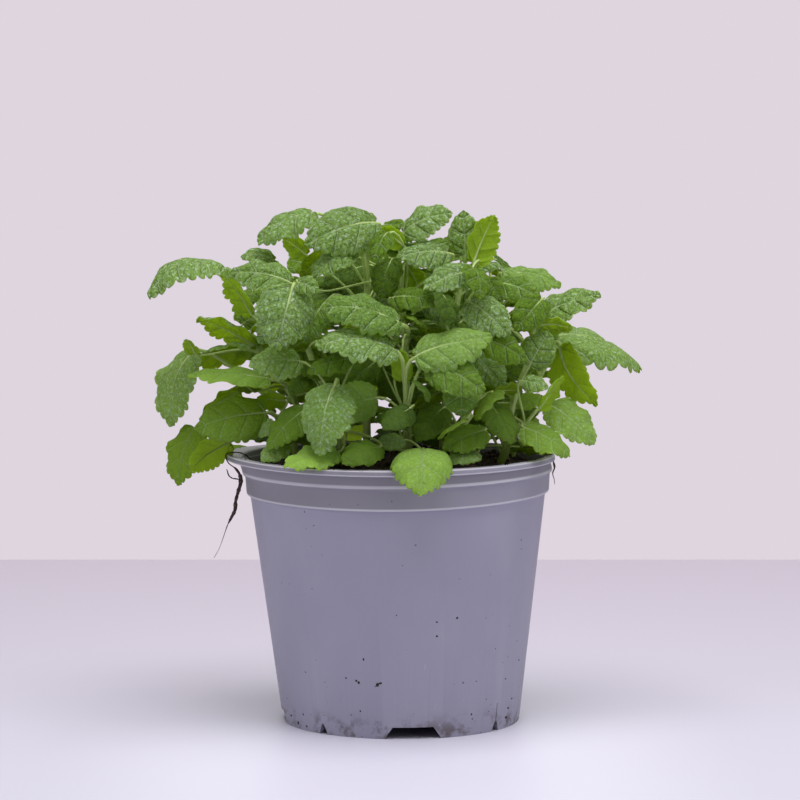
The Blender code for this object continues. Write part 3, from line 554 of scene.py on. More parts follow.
def settled(place):
    """Where a point of the true pot is on the one that leans."""
    reach = math.hypot(place.x, place.y)
    aside = place.x / max(reach, 1e-6)
    wall = rising(40 * MM, 56 * MM, reach)
    collar = COLLAR_OUT * rising(LOWER_LEDGE_Z - 0.9 * MM, LOWER_LEDGE_Z + 0.3 * MM, place.z)
    neck = (NECK_OUT + NECK_OUT_RIGHT * aside) * MM
    neck *= rising(UPPER_LEDGE_Z, UPPER_LEDGE_Z + 2.6 * MM, place.z)
    flange = rising(NECK_RADIUS - 0.4 * MM, LIP_RADIUS - 0.4 * MM, reach)
    flange *= rising(103 * MM, 104.2 * MM, place.z)
    lip = (LIP_OUT + LIP_OUT_RIGHT * aside + LIP_OUT_SIDES * aside**2) * MM
    out = (collar + neck) * wall + lip * flange
    front, right, sides = (np.interp(place.z, RIM_LIFTS[:, 0], lift) for lift in RIM_LIFTS[:, 1:].T)
    up = LIP_PULL * flange * max(0.0, -aside) ** 3
    up += wall * (front + right * aside + sides * (aside**2 if place.y < 0 else 1.0))
    scale = 1 + out / max(reach, 1e-6)
    return Vector((place.x * scale - LEAN * place.z / LOWER_LEDGE_Z, place.y * scale, place.z + up))


first_height = pot_body.verts.layers.float.new("level")
for vert in pot_body.verts:
    vert[first_height] = vert.co.z
    vert.co = settled(vert.co)
print("the lip's left edge is at", round(min(vert.co.x for vert in pot_body.verts) / MM, 1), "mm")

# %% [markdown]
# ## Pot finish
#
# The plastic is a grey lavender with a soft shine. What makes it read as a used pot is small:
# faint flow bands from the mould, pale rubbed patches and a film of soil along the foot. Shade is
# painted on the collar and under the lip, more on the left, and on the middle of the front, and
# pale highlights are painted along the lip and the steps. Most of it is noise on the pot's own
# coordinates, measured round the wall as an angle and up it in metres, so the bands follow the
# wall and not the axes. The painted edge highlights and the collar's painted shade lie between
# heights of the round pot, which its points kept.

# %% Pot finish
PLASTIC = (0.290, 0.279, 0.367)
PLASTIC_PALE = (0.372, 0.368, 0.455)
PLASTIC_COLLAR_SHADE = (0.205, 0.194, 0.226)
PLASTIC_FRONT_SHADE = (0.250, 0.241, 0.322)
PLASTIC_SCUFFED = (0.40, 0.385, 0.45)

plastic = Finish("pot_plastic", IOR=1.49)
spot = plastic.place()
px, py, pz = plastic.axes(spot)
angle = plastic.node("ShaderNodeMath", {"operation": "ARCTAN2"}, {0: px, 1: 0.0 - py})
band = plastic.grain(plastic.vector(angle * 0.9, pz * 6.0), 3.2, 3.0)
blotch = plastic.grain(spot, 24.0, 4.0, 0.55)
fine = plastic.grain(spot, 420.0, 3.0, 0.6)
colour = plastic.mix(PLASTIC, PLASTIC_PALE, (band * 0.6 + blotch * 0.5).fade(0.42, 0.78) * 0.34)
# Painted shade: the middle of the pot's front is painted a little darker, most at the front
painted_front_shade = abs(px).ease(0.005, 0.045) * (py.ease(-0.03, 0.0) * 0.40 + 0.1)
colour = plastic.mix(colour, PLASTIC_FRONT_SHADE, painted_front_shade)
level = plastic.number("level")
# Painted shade on the collar and in the band under the lip, stronger on the left, with blotches
collar = level.fade(0.0915, 0.0925) * (0.45 + px.ease(-0.02, 0.045) * 0.60)
under_lip_shade = level.fade(0.1010, 0.1018) * level.ease(0.1036, 0.1040)
collar = collar.most(under_lip_shade * (0.9 + px.ease(0.0, 0.045) * 0.4))
colour = plastic.mix(colour, PLASTIC_COLLAR_SHADE, collar * (0.55 + blotch * 0.5))
scuff_field = plastic.grain(plastic.vector(angle * 11.0, pz * 26.0), 4.2, 6.0, 0.7)
scuffs = scuff_field.fade(0.60, 0.72) * plastic.grain(spot, 14.0, 2.0).fade(0.46, 0.62)
colour = plastic.mix(colour, PLASTIC_SCUFFED, scuffs * 0.55)

# %% Painted highlights on the edges, and soil on the plastic
PLASTIC_EDGE_HIGHLIGHT = (0.62, 0.61, 0.66)
SOIL_FILM = (0.055, 0.036, 0.022)
# The heights in metres between which each painted highlight along an edge begins and ends, and its
# strength
EDGE_HIGHLIGHTS = {
    "under the lip": ((0.10385, 0.1041), (0.1043, 0.1047), 1.0),
    "on top of the lip": ((0.1057, 0.1060), (0.1062, 0.1064), 1.0),
    "upper step": ((0.1005, 0.1008), (0.1012, 0.1017), 0.95),
    "lower step": ((0.0919, 0.0922), (0.0926, 0.0931), 0.95),
}

# Pale painted highlights along the lip's edges and the two steps
edges = level * 0.0
for begins, ends, strength in EDGE_HIGHLIGHTS.values():
    edges = edges.most(level.fade(*begins) * level.ease(*ends) * strength)
colour = plastic.mix(colour, PLASTIC_EDGE_HIGHLIGHT, edges * (0.42 + blotch * 0.5))
streaks = plastic.grain(plastic.vector(angle * 42.0, pz * 5.0), 2.0, 4.0, 0.65).fade(0.56, 0.74)
foot_film = pz.ease(0.0005, 0.012) * plastic.grain(spot, 120.0, 5.0, 0.7).fade(0.46, 0.64)
dirt = (foot_film * 0.75 + streaks * pz.ease(0.004, 0.045) * 0.22).least(0.85)
specks = plastic.grain(spot, 560.0, 1.0).fade(0.745, 0.775)
specks = specks * plastic.grain(spot, 40.0, 1.0).fade(0.55, 0.70)
dirt = dirt.most(specks * 0.8)
colour = plastic.mix(colour, SOIL_FILM, dirt)
plastic.feed("Base Color", colour)
dullness = 0.40 + fine * 0.08 + blotch * 0.06 + dirt * 0.4 + scuffs * 0.15
plastic.feed("Roughness", dullness.least(1.0))
plastic.relief(fine * 0.5 + scuff_field * 0.25 + dirt, 0.06 * MM, 0.5)

piece("pot_fine", pot_body, [plastic], ["pot"], sharp=35)

# %% [markdown]
# ## Soil
#
# Potting soil is a lumpy mound of peat crumbs. A flat disc with a noisy picture on it would
# look like felt, so the mound is spun from a line with many joints, raised by the same
# formula as the solid, roughened by noise, and then strewn with several hundred loose crumbs
# of a few faces each.

# %% Soil mound
CLEARANCE = 0.3 * MM
SOIL_RIM_Z = 101.5 * MM
SOIL_CROWN_Z = 108.5 * MM
SOIL_LUMP = 1.1 * MM
SOIL_ROUGHNESS = 0.9 * MM
SOIL_JOINTS = 46
SOIL_STEPS = 150


def soil_height(x, y):
    """The soil's upper surface: a lumpy mound, a little above the rim in the middle."""
    reach = math.hypot(x, y) / (NECK_RADIUS - WALL)
    mound = SOIL_RIM_Z + (SOIL_CROWN_Z - SOIL_RIM_Z) * (1 - min(1.0, reach) ** 3)
    lumps = math.sin(x * 210 + 1.3) * math.cos(y * 170 - 0.4) + 0.6 * math.sin(x * 95 - y * 140)
    return mound + SOIL_LUMP * lumps * (1 - 0.7 * reach)


def soil_top(x, y):
    """The same surface with its crumbs."""
    spot = Vector((x, y, 0.0))
    rough = 0.9 * noise.noise(spot * 260) + 0.6 * noise.noise(spot * 620) + 0.35 * noise.noise(spot * 1500)
    return soil_height(x, y) + rough * SOIL_ROUGHNESS


soil_reach = COLLAR_RADIUS - WALL - CLEARANCE + 0.2 * MM
soil_section = [(soil_reach * i / SOIL_JOINTS, SOIL_RIM_Z) for i in range(SOIL_JOINTS + 1)]
soil_section += [
    (wall_radius(COLLAR_FOOT_Z) - WALL - CLEARANCE - 0.2 * MM, COLLAR_FOOT_Z),
    (wall_radius(FLOOR_TOP_Z) - WALL * 1.3 - CLEARANCE - 0.2 * MM, FLOOR_TOP_Z + CLEARANCE),
    (0.0, FLOOR_TOP_Z + CLEARANCE),
]
soil_body = spun(soil_section, SOIL_STEPS, 0)
for vert in soil_body.verts:
    if vert.co.z > SOIL_RIM_Z - 0.1 * MM:
        vert.co.z = soil_top(vert.co.x, vert.co.y)
    vert.co.x -= LEAN * vert.co.z / LOWER_LEDGE_Z

# %% Soil finish
PEAT_DARK = (0.011, 0.0075, 0.005)
PEAT_PALE = (0.052, 0.034, 0.021)
BARK_CHIP = (0.13, 0.085, 0.045)

soil_finish = Finish("potting_soil", Roughness=0.95, Specular_IOR_Level=0.25)
ground = soil_finish.place()
lumps = soil_finish.grain(ground, 300.0, 5.0, 0.7)
chips = soil_finish.grain(soil_finish.stretch(ground, (1.0, 2.2, 1.0)), 700.0, 2.0)
soil_colour = soil_finish.mix(PEAT_DARK, PEAT_PALE, lumps.fade(0.35, 0.7))
soil_colour = soil_finish.mix(soil_colour, BARK_CHIP, chips.fade(0.66, 0.74) * 0.7)
soil_finish.feed("Base Color", soil_colour)
soil_finish.relief(lumps + chips * 0.5, 0.5 * MM)

piece("soil_fine", soil_body, [soil_finish], ["soil"], sharp=60)

# %% [markdown]
# ## Crumbs
#
# Crumbs lie on the mound, and a few stick to the pot where it was watered and knocked. Each
# is a squashed ball of twenty faces, turned at random from a seeded draw, so the same ones
# come back on every run.

# %% One crumb
# The half widths of a crumb as shares of its size, each drawn between two bounds
LOOSE_SHAPE = ((0.7, 1.3), (0.6, 1.1), (0.5, 1.0))
STUCK_SHAPE = ((0.8, 1.3), (0.6, 1.0))
STUCK_HEIGHT = 0.45
CRUMB_LUMPS = 0.14


def add_crumb(body, place, size, draw, lay=None):
    """Adds one crumb: a lumpy ball, flattened along lay."""
    angle_drawn = draw.uniform(0, FULL_TURN)
    axis = Vector([draw.gauss(0, 1) for side in range(3)])
    turn = Matrix.Rotation(angle_drawn, 4, axis)
    scale = Matrix.Diagonal([size * draw.uniform(*bounds) for bounds in LOOSE_SHAPE] + [1])
    if lay is not None:
        upright = lay.to_track_quat("Z", "Y").to_matrix().to_4x4()
        turn = upright @ Matrix.Rotation(draw.uniform(0, FULL_TURN), 4, "Z")
        flat = [size * draw.uniform(*bounds) for bounds in STUCK_SHAPE]
        scale = Matrix.Diagonal(flat + [size * STUCK_HEIGHT, 1])
    placing = Matrix.Translation(place) @ turn @ scale
    made = bmesh.ops.create_icosphere(body, subdivisions=1, radius=1.0, matrix=placing)
    for vert in made["verts"]:
        vert.co += Vector([draw.uniform(-1, 1) for side in range(3)]) * size * CRUMB_LUMPS


# %% Crumbs on the soil
SOIL_CRUMBS = 760
SOIL_CRUMB_SIZES = (0.4, 0.5, 0.6, 0.8, 1.1, 1.5)

crumbs = bmesh.new()
draw = random.Random(5)
for i in range(SOIL_CRUMBS):
    reach = (soil_reach - 2 * MM) * math.sqrt(draw.random())
    turn = draw.uniform(0, 2 * math.pi)
    x, y = reach * math.cos(turn), reach * math.sin(turn)
    size = draw.choice(SOIL_CRUMB_SIZES) * MM
    add_crumb(crumbs, Vector((x - LEAN, y, soil_top(x, y) + size * 0.25)), size, draw)
piece("soil_crumbs", crumbs, [soil_finish])

# %% Crumbs on the pot
WALL_CRUMBS = 100
LIP_CRUMBS = 46
# Crumbs seen on the pot: (x, z, half width) in millimetres as seen from the front
STUCK_CRUMBS = (
    (14.6, 47.0, 0.5), (22.6, 48.2, 0.55), (14.6, 41.3, 0.45), (-14.2, 32.0, 0.5), (-21.2, 24.0, 0.5),
    (-17.2, 23.2, 0.7), (-16.2, 22.6, 0.6), (-8.9, 22.0, 0.8), (-7.7, 22.6, 0.6), (-9.8, 21.2, 0.4),
    (-15.8, 11.0, 0.45), (24.7, 21.8, 0.4), (30.0, 21.8, 0.35), (27.9, 8.6, 0.5), (28.3, 6.6, 0.4),
    (47.7, 26.8, 0.5), (-38.9, 6.6, 0.5), (-36.4, 90.2, 0.4), (-44.0, 4.5, 0.7), (-41.0, 2.4, 0.8),
    (-37.5, 1.9, 0.6), (43.0, 8.0, 0.6), (44.6, 11.5, 0.45), (42.1, 4.4, 0.8), (38.0, 3.0, 0.5),
)


def wall_spot(x, z):
    """The point on the pot's front at this x and z, and the way out from it."""
    radius = wall_radius(z) if z < LOWER_LEDGE_Z else UPPER_LEDGE_RADIUS
    y = -math.sqrt(max(0.0, radius**2 - x**2))
    return settled(Vector((x, y, z))), Vector((x, y, 0)).normalized()


stuck = bmesh.new()
draw = random.Random(9)
for x, z, size in STUCK_CRUMBS:
    place, out = wall_spot(x * MM, z * MM)
    add_crumb(stuck, place, size * MM, draw, out)
for i in range(WALL_CRUMBS):
    turn = draw.uniform(0, 2 * math.pi)
    z = 0.6 * MM + POT_HEIGHT * draw.random() ** 3.2 * 0.8
    out = Vector((math.cos(turn), math.sin(turn), 0))
    place = settled(out * wall_radius(z) + Vector((0, 0, z)))
    add_crumb(stuck, place, draw.uniform(0.12, 0.34) * MM, draw, out)
for i in range(LIP_CRUMBS):
    turn = draw.uniform(0, 2 * math.pi)
    out = Vector((math.cos(turn), math.sin(turn), 0))
    size = draw.uniform(0.2, 0.5) * MM
    place = settled(out * draw.uniform(62.4, 64.6) * MM + Vector((0, 0, POT_HEIGHT)))
    add_crumb(stuck, place + Vector((0, 0, size * 0.2)), size, draw, Vector((0, 0, 1)))
piece("pot_crumbs", stuck, [soil_finish])


# %% [markdown]
# ## The plant's plan
#
# From here to the end of the next cells stands the plan that the solids were grown by: where
# each shoot stands, and where each blade that could be read off the plant lies. It is repeated
# rather than traced from the solids, because a blade's midrib, width and bend are what the
# fine blade needs, and a solid's triangles no longer say them. The draw is seeded alike and the
# same things are kept clear, so every blade comes out where its solid is.

# %% Measured leaves
STEM_FOOT_RADIUS = 1.55 * MM
STEM_TOP_RADIUS = 1.05 * MM
STALK_RADIUS = 0.75 * MM
STEM_DEPTH = 7.0 * MM
STEM_JOINTS = (0.0, 0.34, 0.68, 1.0)
LEAF_NODE_STEP = 11.0 * MM
BLADE_THICKNESS = 0.6 * MM
BREATHING_SPACE = 0.55 * MM
REACH_CENTRE = (-5 * MM, 120 * MM)
REACH = (80 * MM, 84 * MM)
DEEPEST = 77.5 * MM


class Leaf(NamedTuple):
    """A blade read off the plant, in millimetres: (x, z) of its base and tip as seen against the
    upright plane through the pot's axis, their depths (y), the width that is seen of it, which
    side is seen, and how far its midrib bows out of its chord near the base and near the tip."""

    base: tuple
    tip: tuple
    depth: tuple
    seen_width: float
    shows: str = "upper"
    bow: tuple = (3, 2)


class Shoot(NamedTuple):
    """One leafy shoot, in millimetres: where its stem leaves the soil (x, y), its top (x, y, z),
    its measured leaves, and how many more it grows by rule."""

    root: tuple
    top: tuple
    leaves: tuple
    extra: int = 0


SHOOTS = {
    "shoot_front_centre": Shoot((2, -32), (2, -38, 127), (
        Leaf((-3, 151), (-35, 152), (-48, -58), 13, "upper", (6, 5)),
        Leaf((6, 148), (37, 156), (-48, -50), 16, "upper", (4, 1)),
        Leaf((12, 145), (34, 133), (-50, -56), 17, "upper", (5, 4)),
        Leaf((1, 138), (0, 151), (-38, -40), 9, "under", (0, 1)),
        Leaf((-10, 131), (-30, 127), (-42, -46), 17, "upper", (2, 2)),
    )),
    "shoot_front_left": Shoot((-24, -30), (-25, -34, 131), (
        Leaf((-27, 136), (-33, 107), (-50, -62), 21, "upper", (7, 5)),
        Leaf((-26, 109), (-48, 103), (-52, -60), 9, "upper", (2, 2)),
        Leaf((-41, 146), (-62, 144), (-36, -42), 13, "upper", (3, 3)),
        Leaf((-9, 111), (-24, 104), (-50, -60), 11, "upper", (3, 3)),
        Leaf((-21, 147), (-38, 141), (-36, -40), 8, "upper", (2, 2)),
        Leaf((-38, 127), (-54, 110), (-34, -42), 13, "upper", (3, 3)),
    )),
    "shoot_low_left": Shoot((-42, -12), (-50, -12, 124), (
        Leaf((-55, 125), (-84, 118), (-16, -22), 20, "upper", (4, 5)),
        Leaf((-70, 113), (-86, 101), (-14, -18), 12, "under", (3, 3)),
        Leaf((-84, 119), (-91, 95), (-8, -14), 14, "upper", (4, 3)),
        Leaf((-46, 112), (-57, 105), (-36, -42), 8, "upper", (2, 2)),
        Leaf((-47, 130), (-60, 129), (-6, -8), 7, "under", (2, 2)),
        Leaf((-52, 121), (-58, 115), (-32, -34), 5, "upper", (1, 1)),
    )),
    "shoot_left": Shoot((-38, 12), (-56, 8, 148), (
        Leaf((-59, 151), (-84, 144), (2, 6), 10, "under", (4, 3)),
        Leaf((-58, 152), (-83, 163), (10, 8), 9, "under", (1, 3)),
        Leaf((-54, 139), (-87, 140), (-16, -22), 9, "upper", (2, 2)),
        Leaf((-66, 134), (-82, 122), (8, 4), 8, "under", (2, 2)),
        Leaf((-85, 149), (-94, 119), (-2, -8), 15, "upper", (8, 4)),
        Leaf((-83, 149), (-87, 155), (-6, -8), 5, "under", (0, 1)),
    ), 1),
    "shoot_high_left": Shoot((-28, -4), (-50, -8, 176), (
        Leaf((-71, 183), (-102, 171), (-12, -32), 7, "upper", (12, 13)),
        Leaf((-60, 165), (-73, 182), (-4, -2), 7, "under", (1, 2)),
        Leaf((-45, 178), (-69, 182), (-26, -22), 13, "upper", (4, 2)),
        Leaf((-44, 176), (-51, 150), (-32, -42), 25, "upper", (7, 4)),
        Leaf((-51, 187), (-65, 188), (2, 0), 7, "upper", (3, 3)),
        Leaf((-46, 167), (-58, 153), (-12, -14), 13, "upper", (2, 2)),
        Leaf((-42, 178), (-33, 174), (-34, -40), 8, "upper", (2, 2)),
    ), 1),
    "shoot_top_left": Shoot((-14, 8), (-14, 2, 192), (
        Leaf((-10, 202), (-39, 193), (-14, -26), 21, "upper", (7, 4)),
        Leaf((-36, 206), (-58, 193), (2, -6), 10, "upper", (5, 4)),
        Leaf((-20, 191), (-36, 180), (-22, -32), 10, "upper", (4, 2)),
        Leaf((-38, 189), (-48, 196), (14, 18), 9, "under", (1, 1)),
        Leaf((-28, 190), (-41, 180), (8, 10), 9, "under", (2, 2)),
        Leaf((-1, 162), (-33, 167), (-42, -50), 13, "upper", (4, 5)),
        Leaf((-13, 185), (-32, 176), (0, -6), 11, "upper", (3, 2)),
        Leaf((-30, 171), (-40, 153), (-14, -18), 13, "upper", (3, 2)),
    ), 1),
    "shoot_top_centre": Shoot((3, -6), (-1, -8, 188), (
        Leaf((1, 198), (21, 206), (-10, -14), 12, "upper", (5, 3)),
        Leaf((1, 193), (-8, 200), (-10, -6), 8, "under", (0, 1)),
        Leaf((19, 190), (-2, 188), (-20, -28), 12, "upper", (3, 2)),
        Leaf((-4, 187), (-8, 171), (-14, -20), 12, "upper", (3, 2)),
        Leaf((-3, 172), (16, 169), (-32, -40), 10, "upper", (3, 2)),
        Leaf((3, 184), (8, 172), (-6, -8), 9, "under", (3, 2)),
        Leaf((-10, 160), (-27, 153), (-22, -26), 11, "under", (2, 2)),
        Leaf((-6, 198), (-11, 186), (-18, -24), 9, "upper", (2, 2)),
        Leaf((-10, 146), (-24, 133), (-20, -24), 14, "upper", (3, 2)),
    ), 1),
    "shoot_top_right": Shoot((17, 2), (25, 0, 182), (
        Leaf((26, 189), (25, 207), (-4, 0), 14, "upper", (1, 2)),
        Leaf((29, 186), (38, 205), (-8, -4), 13, "under", (1, 2)),
        Leaf((29, 182), (9, 175), (-24, -34), 12, "upper", (4, 2)),
        Leaf((29, 184), (32, 171), (-16, -28), 10, "upper", (4, 3)),
        Leaf((31, 183), (42, 184), (8, 10), 4, "upper", (3, 3)),
        Leaf((11, 172), (23, 159), (-20, -26), 13, "upper", (3, 2)),
        Leaf((10, 150), (25, 141), (-18, -22), 13, "upper", (3, 2)),
    ), 1),
    "shoot_high_right": Shoot((30, 14), (42, 10, 174), (
        Leaf((41, 182), (65, 176), (6, 8), 7, "upper", (3, 4)),
        Leaf((40, 178), (57, 171), (-4, -8), 10, "upper", (2, 2)),
        Leaf((57, 171), (46, 158), (-24, -32), 14, "upper", (3, 3)),
        Leaf((35, 179), (41, 170), (-20, -26), 9, "upper", (2, 2)),
        Leaf((54, 167), (62, 152), (-4, -8), 14, "upper", (2, 2)),
        Leaf((30, 149), (42, 135), (-20, -24), 14, "upper", (2, 2)),
    ), 1),
    "shoot_right": Shoot((42, -2), (54, -6, 152), (
        Leaf((57, 165), (81, 173), (-12, -16), 12, "upper", (2, 2)),
        Leaf((60, 156), (96, 142), (-6, 22), 9, "upper", (9, 9)),
        Leaf((65, 151), (80, 128), (-4, -8), 14, "under", (-6, -3)),
        Leaf((28, 170), (44, 156), (-36, -46), 16, "upper", (4, 3)),
        Leaf((57, 161), (70, 159), (-14, -10), 7, "under", (2, 2)),
        Leaf((52, 144), (60, 158), (-28, -26), 15, "upper", (2, 2)),
    )),
    "shoot_low_right": Shoot((40, -20), (50, -22, 122), (
        Leaf((61, 128), (79, 112), (-18, -24), 16, "upper", (3, 4)),
        Leaf((56, 127), (66, 140), (-18, -14), 5, "under", (0, 1)),
        Leaf((50, 119), (69, 107), (-26, -32), 12, "upper", (3, 3)),
        Leaf((50, 138), (60, 135), (-20, -22), 7, "upper", (1, 1)),
        Leaf((47, 129), (58, 130), (-8, -10), 7, "upper", (1, 1)),
    ), 1),
    "shoot_front_right": Shoot((22, -30), (27, -34, 132), (
        Leaf((24, 137), (25, 123), (-44, -50), 15, "upper", (2, 2)),
        Leaf((34, 118), (17, 110), (-42, -50), 12, "upper", (2, 2)),
        Leaf((31, 109), (19, 104), (-52, -60), 8, "upper", (2, 2)),
        Leaf((37, 128), (45, 112), (-32, -42), 13, "upper", (2, 2)),
        Leaf((17, 173), (19, 160), (-32, -40), 9, "upper", (4, 3)),
        Leaf((17, 127), (6, 113), (-34, -42), 13, "upper", (2, 2)),
        Leaf((34, 155), (51, 146), (-40, -38), 12, "upper", (3, 2)),
    ), 1),
    "shoot_low_front": Shoot((9, -46), (9, -48, 113), (
        Leaf((9, 110), (8, 91), (-54, -78), 26, "upper", (8, 5)),
        Leaf((1, 114), (-10, 112), (-42, -46), 7, "upper", (1, 1)),
    )),
    "shoot_back_left": Shoot((-30, 34), (-40, 46, 168), (), 7),
    "shoot_back_centre": Shoot((-2, 30), (-4, 40, 186), (), 8),
    "shoot_back_right": Shoot((26, 34), (34, 46, 172), (), 7),
    "shoot_back_low": Shoot((4, 50), (8, 62, 134), (
        Leaf((-17, 121), (-23, 107), (52, 78), 15, "under", (7, 4)),
    ), 6),
    "shoot_side_right": Shoot((46, 20), (60, 28, 142), (), 6),
}


# %% A blade bent in space
def seen_at(place, depth):
    """The point at this depth on the line of sight through (x, z) on the axis plane."""
    on_plane = Vector((place[0], 0.0, place[1])) * MM
    return EYE + (on_plane - EYE) * ((depth * MM - EYE.y) / -EYE.y)


def facing(base, tip, seen_share, shows):
    """The way a blade's upper side faces, if this share of its width is seen from the eye."""
    along = (tip - base).normalized()
    to_eye = (EYE - base).normalized()
    to_eye = (to_eye - along * to_eye.dot(along)).normalized()
    aside = along.cross(to_eye)
    if aside.z < 0:
        aside.negate()
    seen_share = min(1.0, seen_share)
    towards = seen_share if shows == "upper" else -seen_share
    return to_eye * towards + aside * math.sqrt(1 - seen_share**2)


def bezier(points, t):
    """The point at t, from 0 to 1, of the curve that four points give."""
    a, b, c, d = points
    u = 1.0 - t
    return a * u**3 + b * (3 * u * u * t) + c * (3 * u * t * t) + d * t**3


def bezier_slope(points, t):
    """The way that the curve runs at t."""
    a, b, c, d = points
    u = 1.0 - t
    return (b - a) * (3 * u * u) + (c - b) * (6 * u * t) + (d - c) * (3 * t * t)


BASE_FULLNESS = 0.42
TIP_FULLNESS = 0.66
HEART_LOBE = 0.17
WIDTH_TO_LENGTH = 0.76
WIDEST = BASE_FULLNESS / (BASE_FULLNESS + TIP_FULLNESS)
FULLEST = WIDEST**BASE_FULLNESS * (1 - WIDEST) ** TIP_FULLNESS


def edge_reach(share):
    """How far the toothless edge is from the midrib, this share of the way to the tip."""
    return share**BASE_FULLNESS * (1 - share) ** TIP_FULLNESS / FULLEST


def outline(turn):
    """(along, across) on the toothless edge of a blade one long and two wide, at an angle from 0
    at the stalk to pi at the tip."""
    share = (1 - math.cos(turn)) / 2
    across = edge_reach(share)
    return share - HEART_LOBE * across * (1 - share) ** 6, across


class Blade:
    """A leaf blade bent in space: a midrib curve, and a surface that hangs on it."""

    def __init__(self, base, tip, face, width, bow, cup, twist, phase):
        chord = tip - base
        along = chord.normalized()
        self.up = (face - along * face.dot(along)).normalized()
        self.rib = (base, base + chord / 3 + self.up * bow[0], tip - chord / 3 + self.up * bow[1], tip)
        self.length, self.width = chord.length, width
        self.cup, self.twist, self.phase = cup, twist, phase

    def spot(self, along, across, lift=0.0):
        """The point at (along, across) of the flat blade, lifted off its upper side."""
        s = min(1.0, max(0.0, along))
        ahead = bezier_slope(self.rib, s).normalized()
        up = (self.up - ahead * self.up.dot(ahead)).normalized()
        up.rotate(Matrix.Rotation(self.twist * (s - 0.3), 3, ahead))
        side = up.cross(ahead)
        half = self.width / 2
        ripple = 0.07 * math.sin(17.0 * along + self.phase + (1.6 if across > 0 else 0.0))
        rise = half * across * across * (self.cup + ripple) + lift
        on_rib = bezier(self.rib, s) + ahead * ((along - s) * self.length)
        return on_rib + side * (across * half) + up * rise


# %% What keeps clear of what
def shell_tree(rows):
    """An overlap tree of a closed band of rings, each a list of points."""
    count = len(rows[0])
    points = [point for row in rows for point in row]
    faces = []
    for r in range(len(rows) - 1):
        for c in range(count):
            a, b = r * count + c, r * count + (c + 1) % count
            faces.append((a, b, b + count, a + count))
    faces.append(tuple(range(count)))
    faces.append(tuple(range(len(points) - count, len(points))))
    return BVHTree.FromPolygons(points, faces)


def blade_tree(blade, grow):
    """An overlap tree of a blade, grown all round by this much."""
    rows = []
    for step in range(9):
        turn = math.pi * (0.03 + 0.94 * step / 8)
        along, across = outline(turn)
        along += (grow / blade.length) * (2 * along - 1)
        wide = across + grow / (blade.width / 2)
        over = [blade.spot(along, wide * k, grow) for k in (-1, -0.5, 0, 0.5, 1)]
        under = [blade.spot(along, wide * k, -BLADE_THICKNESS - grow) for k in (1, 0.5, 0, -0.5, -1)]
        rows.append(over + under)
    return shell_tree(rows)


def tube_tree(points, radius, grow):
    """An overlap tree of a four-sided tube through these points, grown by this much."""
    rows = []
    for i, point in enumerate(points):
        ahead = (points[min(i + 1, len(points) - 1)] - points[max(i - 1, 0)]).normalized()
        side = ahead.orthogonal().normalized()
        other = ahead.cross(side)
        reach = (radius + grow) * 1.1
        rows.append([point + way * reach for way in (side, other, -side, -other)])
    return shell_tree(rows)


class Solid(NamedTuple):
    """Something already in place, that later pieces keep clear of."""

    shoot: str
    kind: str
    tree: BVHTree


class PlacedLeaf(NamedTuple):
    """A leaf that has found room: its blade, its stalk's curve, and what it was made from."""

    blade: Blade
    stalk: tuple
    source: object


def stem_point(shoot, share):
    """A point on the stem's line, from its root in the soil to its top."""
    root = Vector((shoot.root[0], shoot.root[1], 0)) * MM
    root.z = soil_height(root.x, root.y)
    top = Vector(shoot.top) * MM
    lean = Vector((root.x + (top.x - root.x) * 0.2, root.y + (top.y - root.y) * 0.2, (root.z + top.z) / 2))
    return bezier((root, lean, lean, top), share)


def stem_line(shoot):
    """The stem's joints, from below the soil to its top."""
    foot = stem_point(shoot, 0) - Vector((0, 0, STEM_DEPTH))
    return [foot] + [stem_point(shoot, share) for share in STEM_JOINTS]


def stalk_path(shoot, blade, leave_share, bend):
    """The stalk's curve: out of the stem, then into the blade along its midrib."""
    start = stem_point(shoot, leave_share)
    end = blade.rib[0]
    span = (end - start).length
    inward = bezier_slope(blade.rib, 0).normalized()
    out = (end - start).normalized() + Vector((0, 0, 0.55))
    after_start = start + out.normalized() * span * 0.35 + bend
    before_end = end - inward * span * 0.3 + bend * 0.6
    return (start, after_start, before_end, end)


def sample(points, count):
    """This many points along a curve."""
    return [bezier(points, i / (count - 1)) for i in range(count)]


STALK_FULLEST = STALK_RADIUS * 1.2
BENDS = [Vector(v) * MM for v in (
    (0, 0, 0), (0, 0, -4), (0, 0, 4), (4, 0, 0), (-4, 0, 0), (0, 5, 0), (0, -5, 0),
    (6, 6, -3), (-6, 6, -3), (6, -6, -3), (-6, -6, -3), (0, 9, 4), (0, -9, 4),
    (10, 0, 3), (-10, 0, 3), (0, 12, -5), (8, 10, 5), (-8, 10, 5),
)]


def is_clear(tree, shoot_name, solids, ignore):
    """Whether a grown piece touches nothing in place, apart from these kinds of its own shoot."""
    for solid in solids:
        if solid.shoot == shoot_name and solid.kind in ignore:
            continue
        if tree.overlap(solid.tree):
            return False
    return True


def stalk_points(blade, path):
    """The stalk's joints: three on its curve, and one sunk in the blade."""
    ahead = bezier_slope(blade.rib, 0).normalized()
    foot = blade.spot(0.0, 0.0, -BLADE_THICKNESS / 2)
    return sample(path, 3)[:-1] + [foot, foot + ahead * blade.length * 0.1]


def is_gentle(points):
    """Whether a tube through these points has no kink sharp enough to cross itself."""
    steps = [b - a for a, b in zip(points, points[1:])]
    turns = [a.normalized().dot(b.normalized()) for a, b in zip(steps, steps[1:])]
    return min(turns) > 0.1 and min(step.length for step in steps) > 0.9 * MM


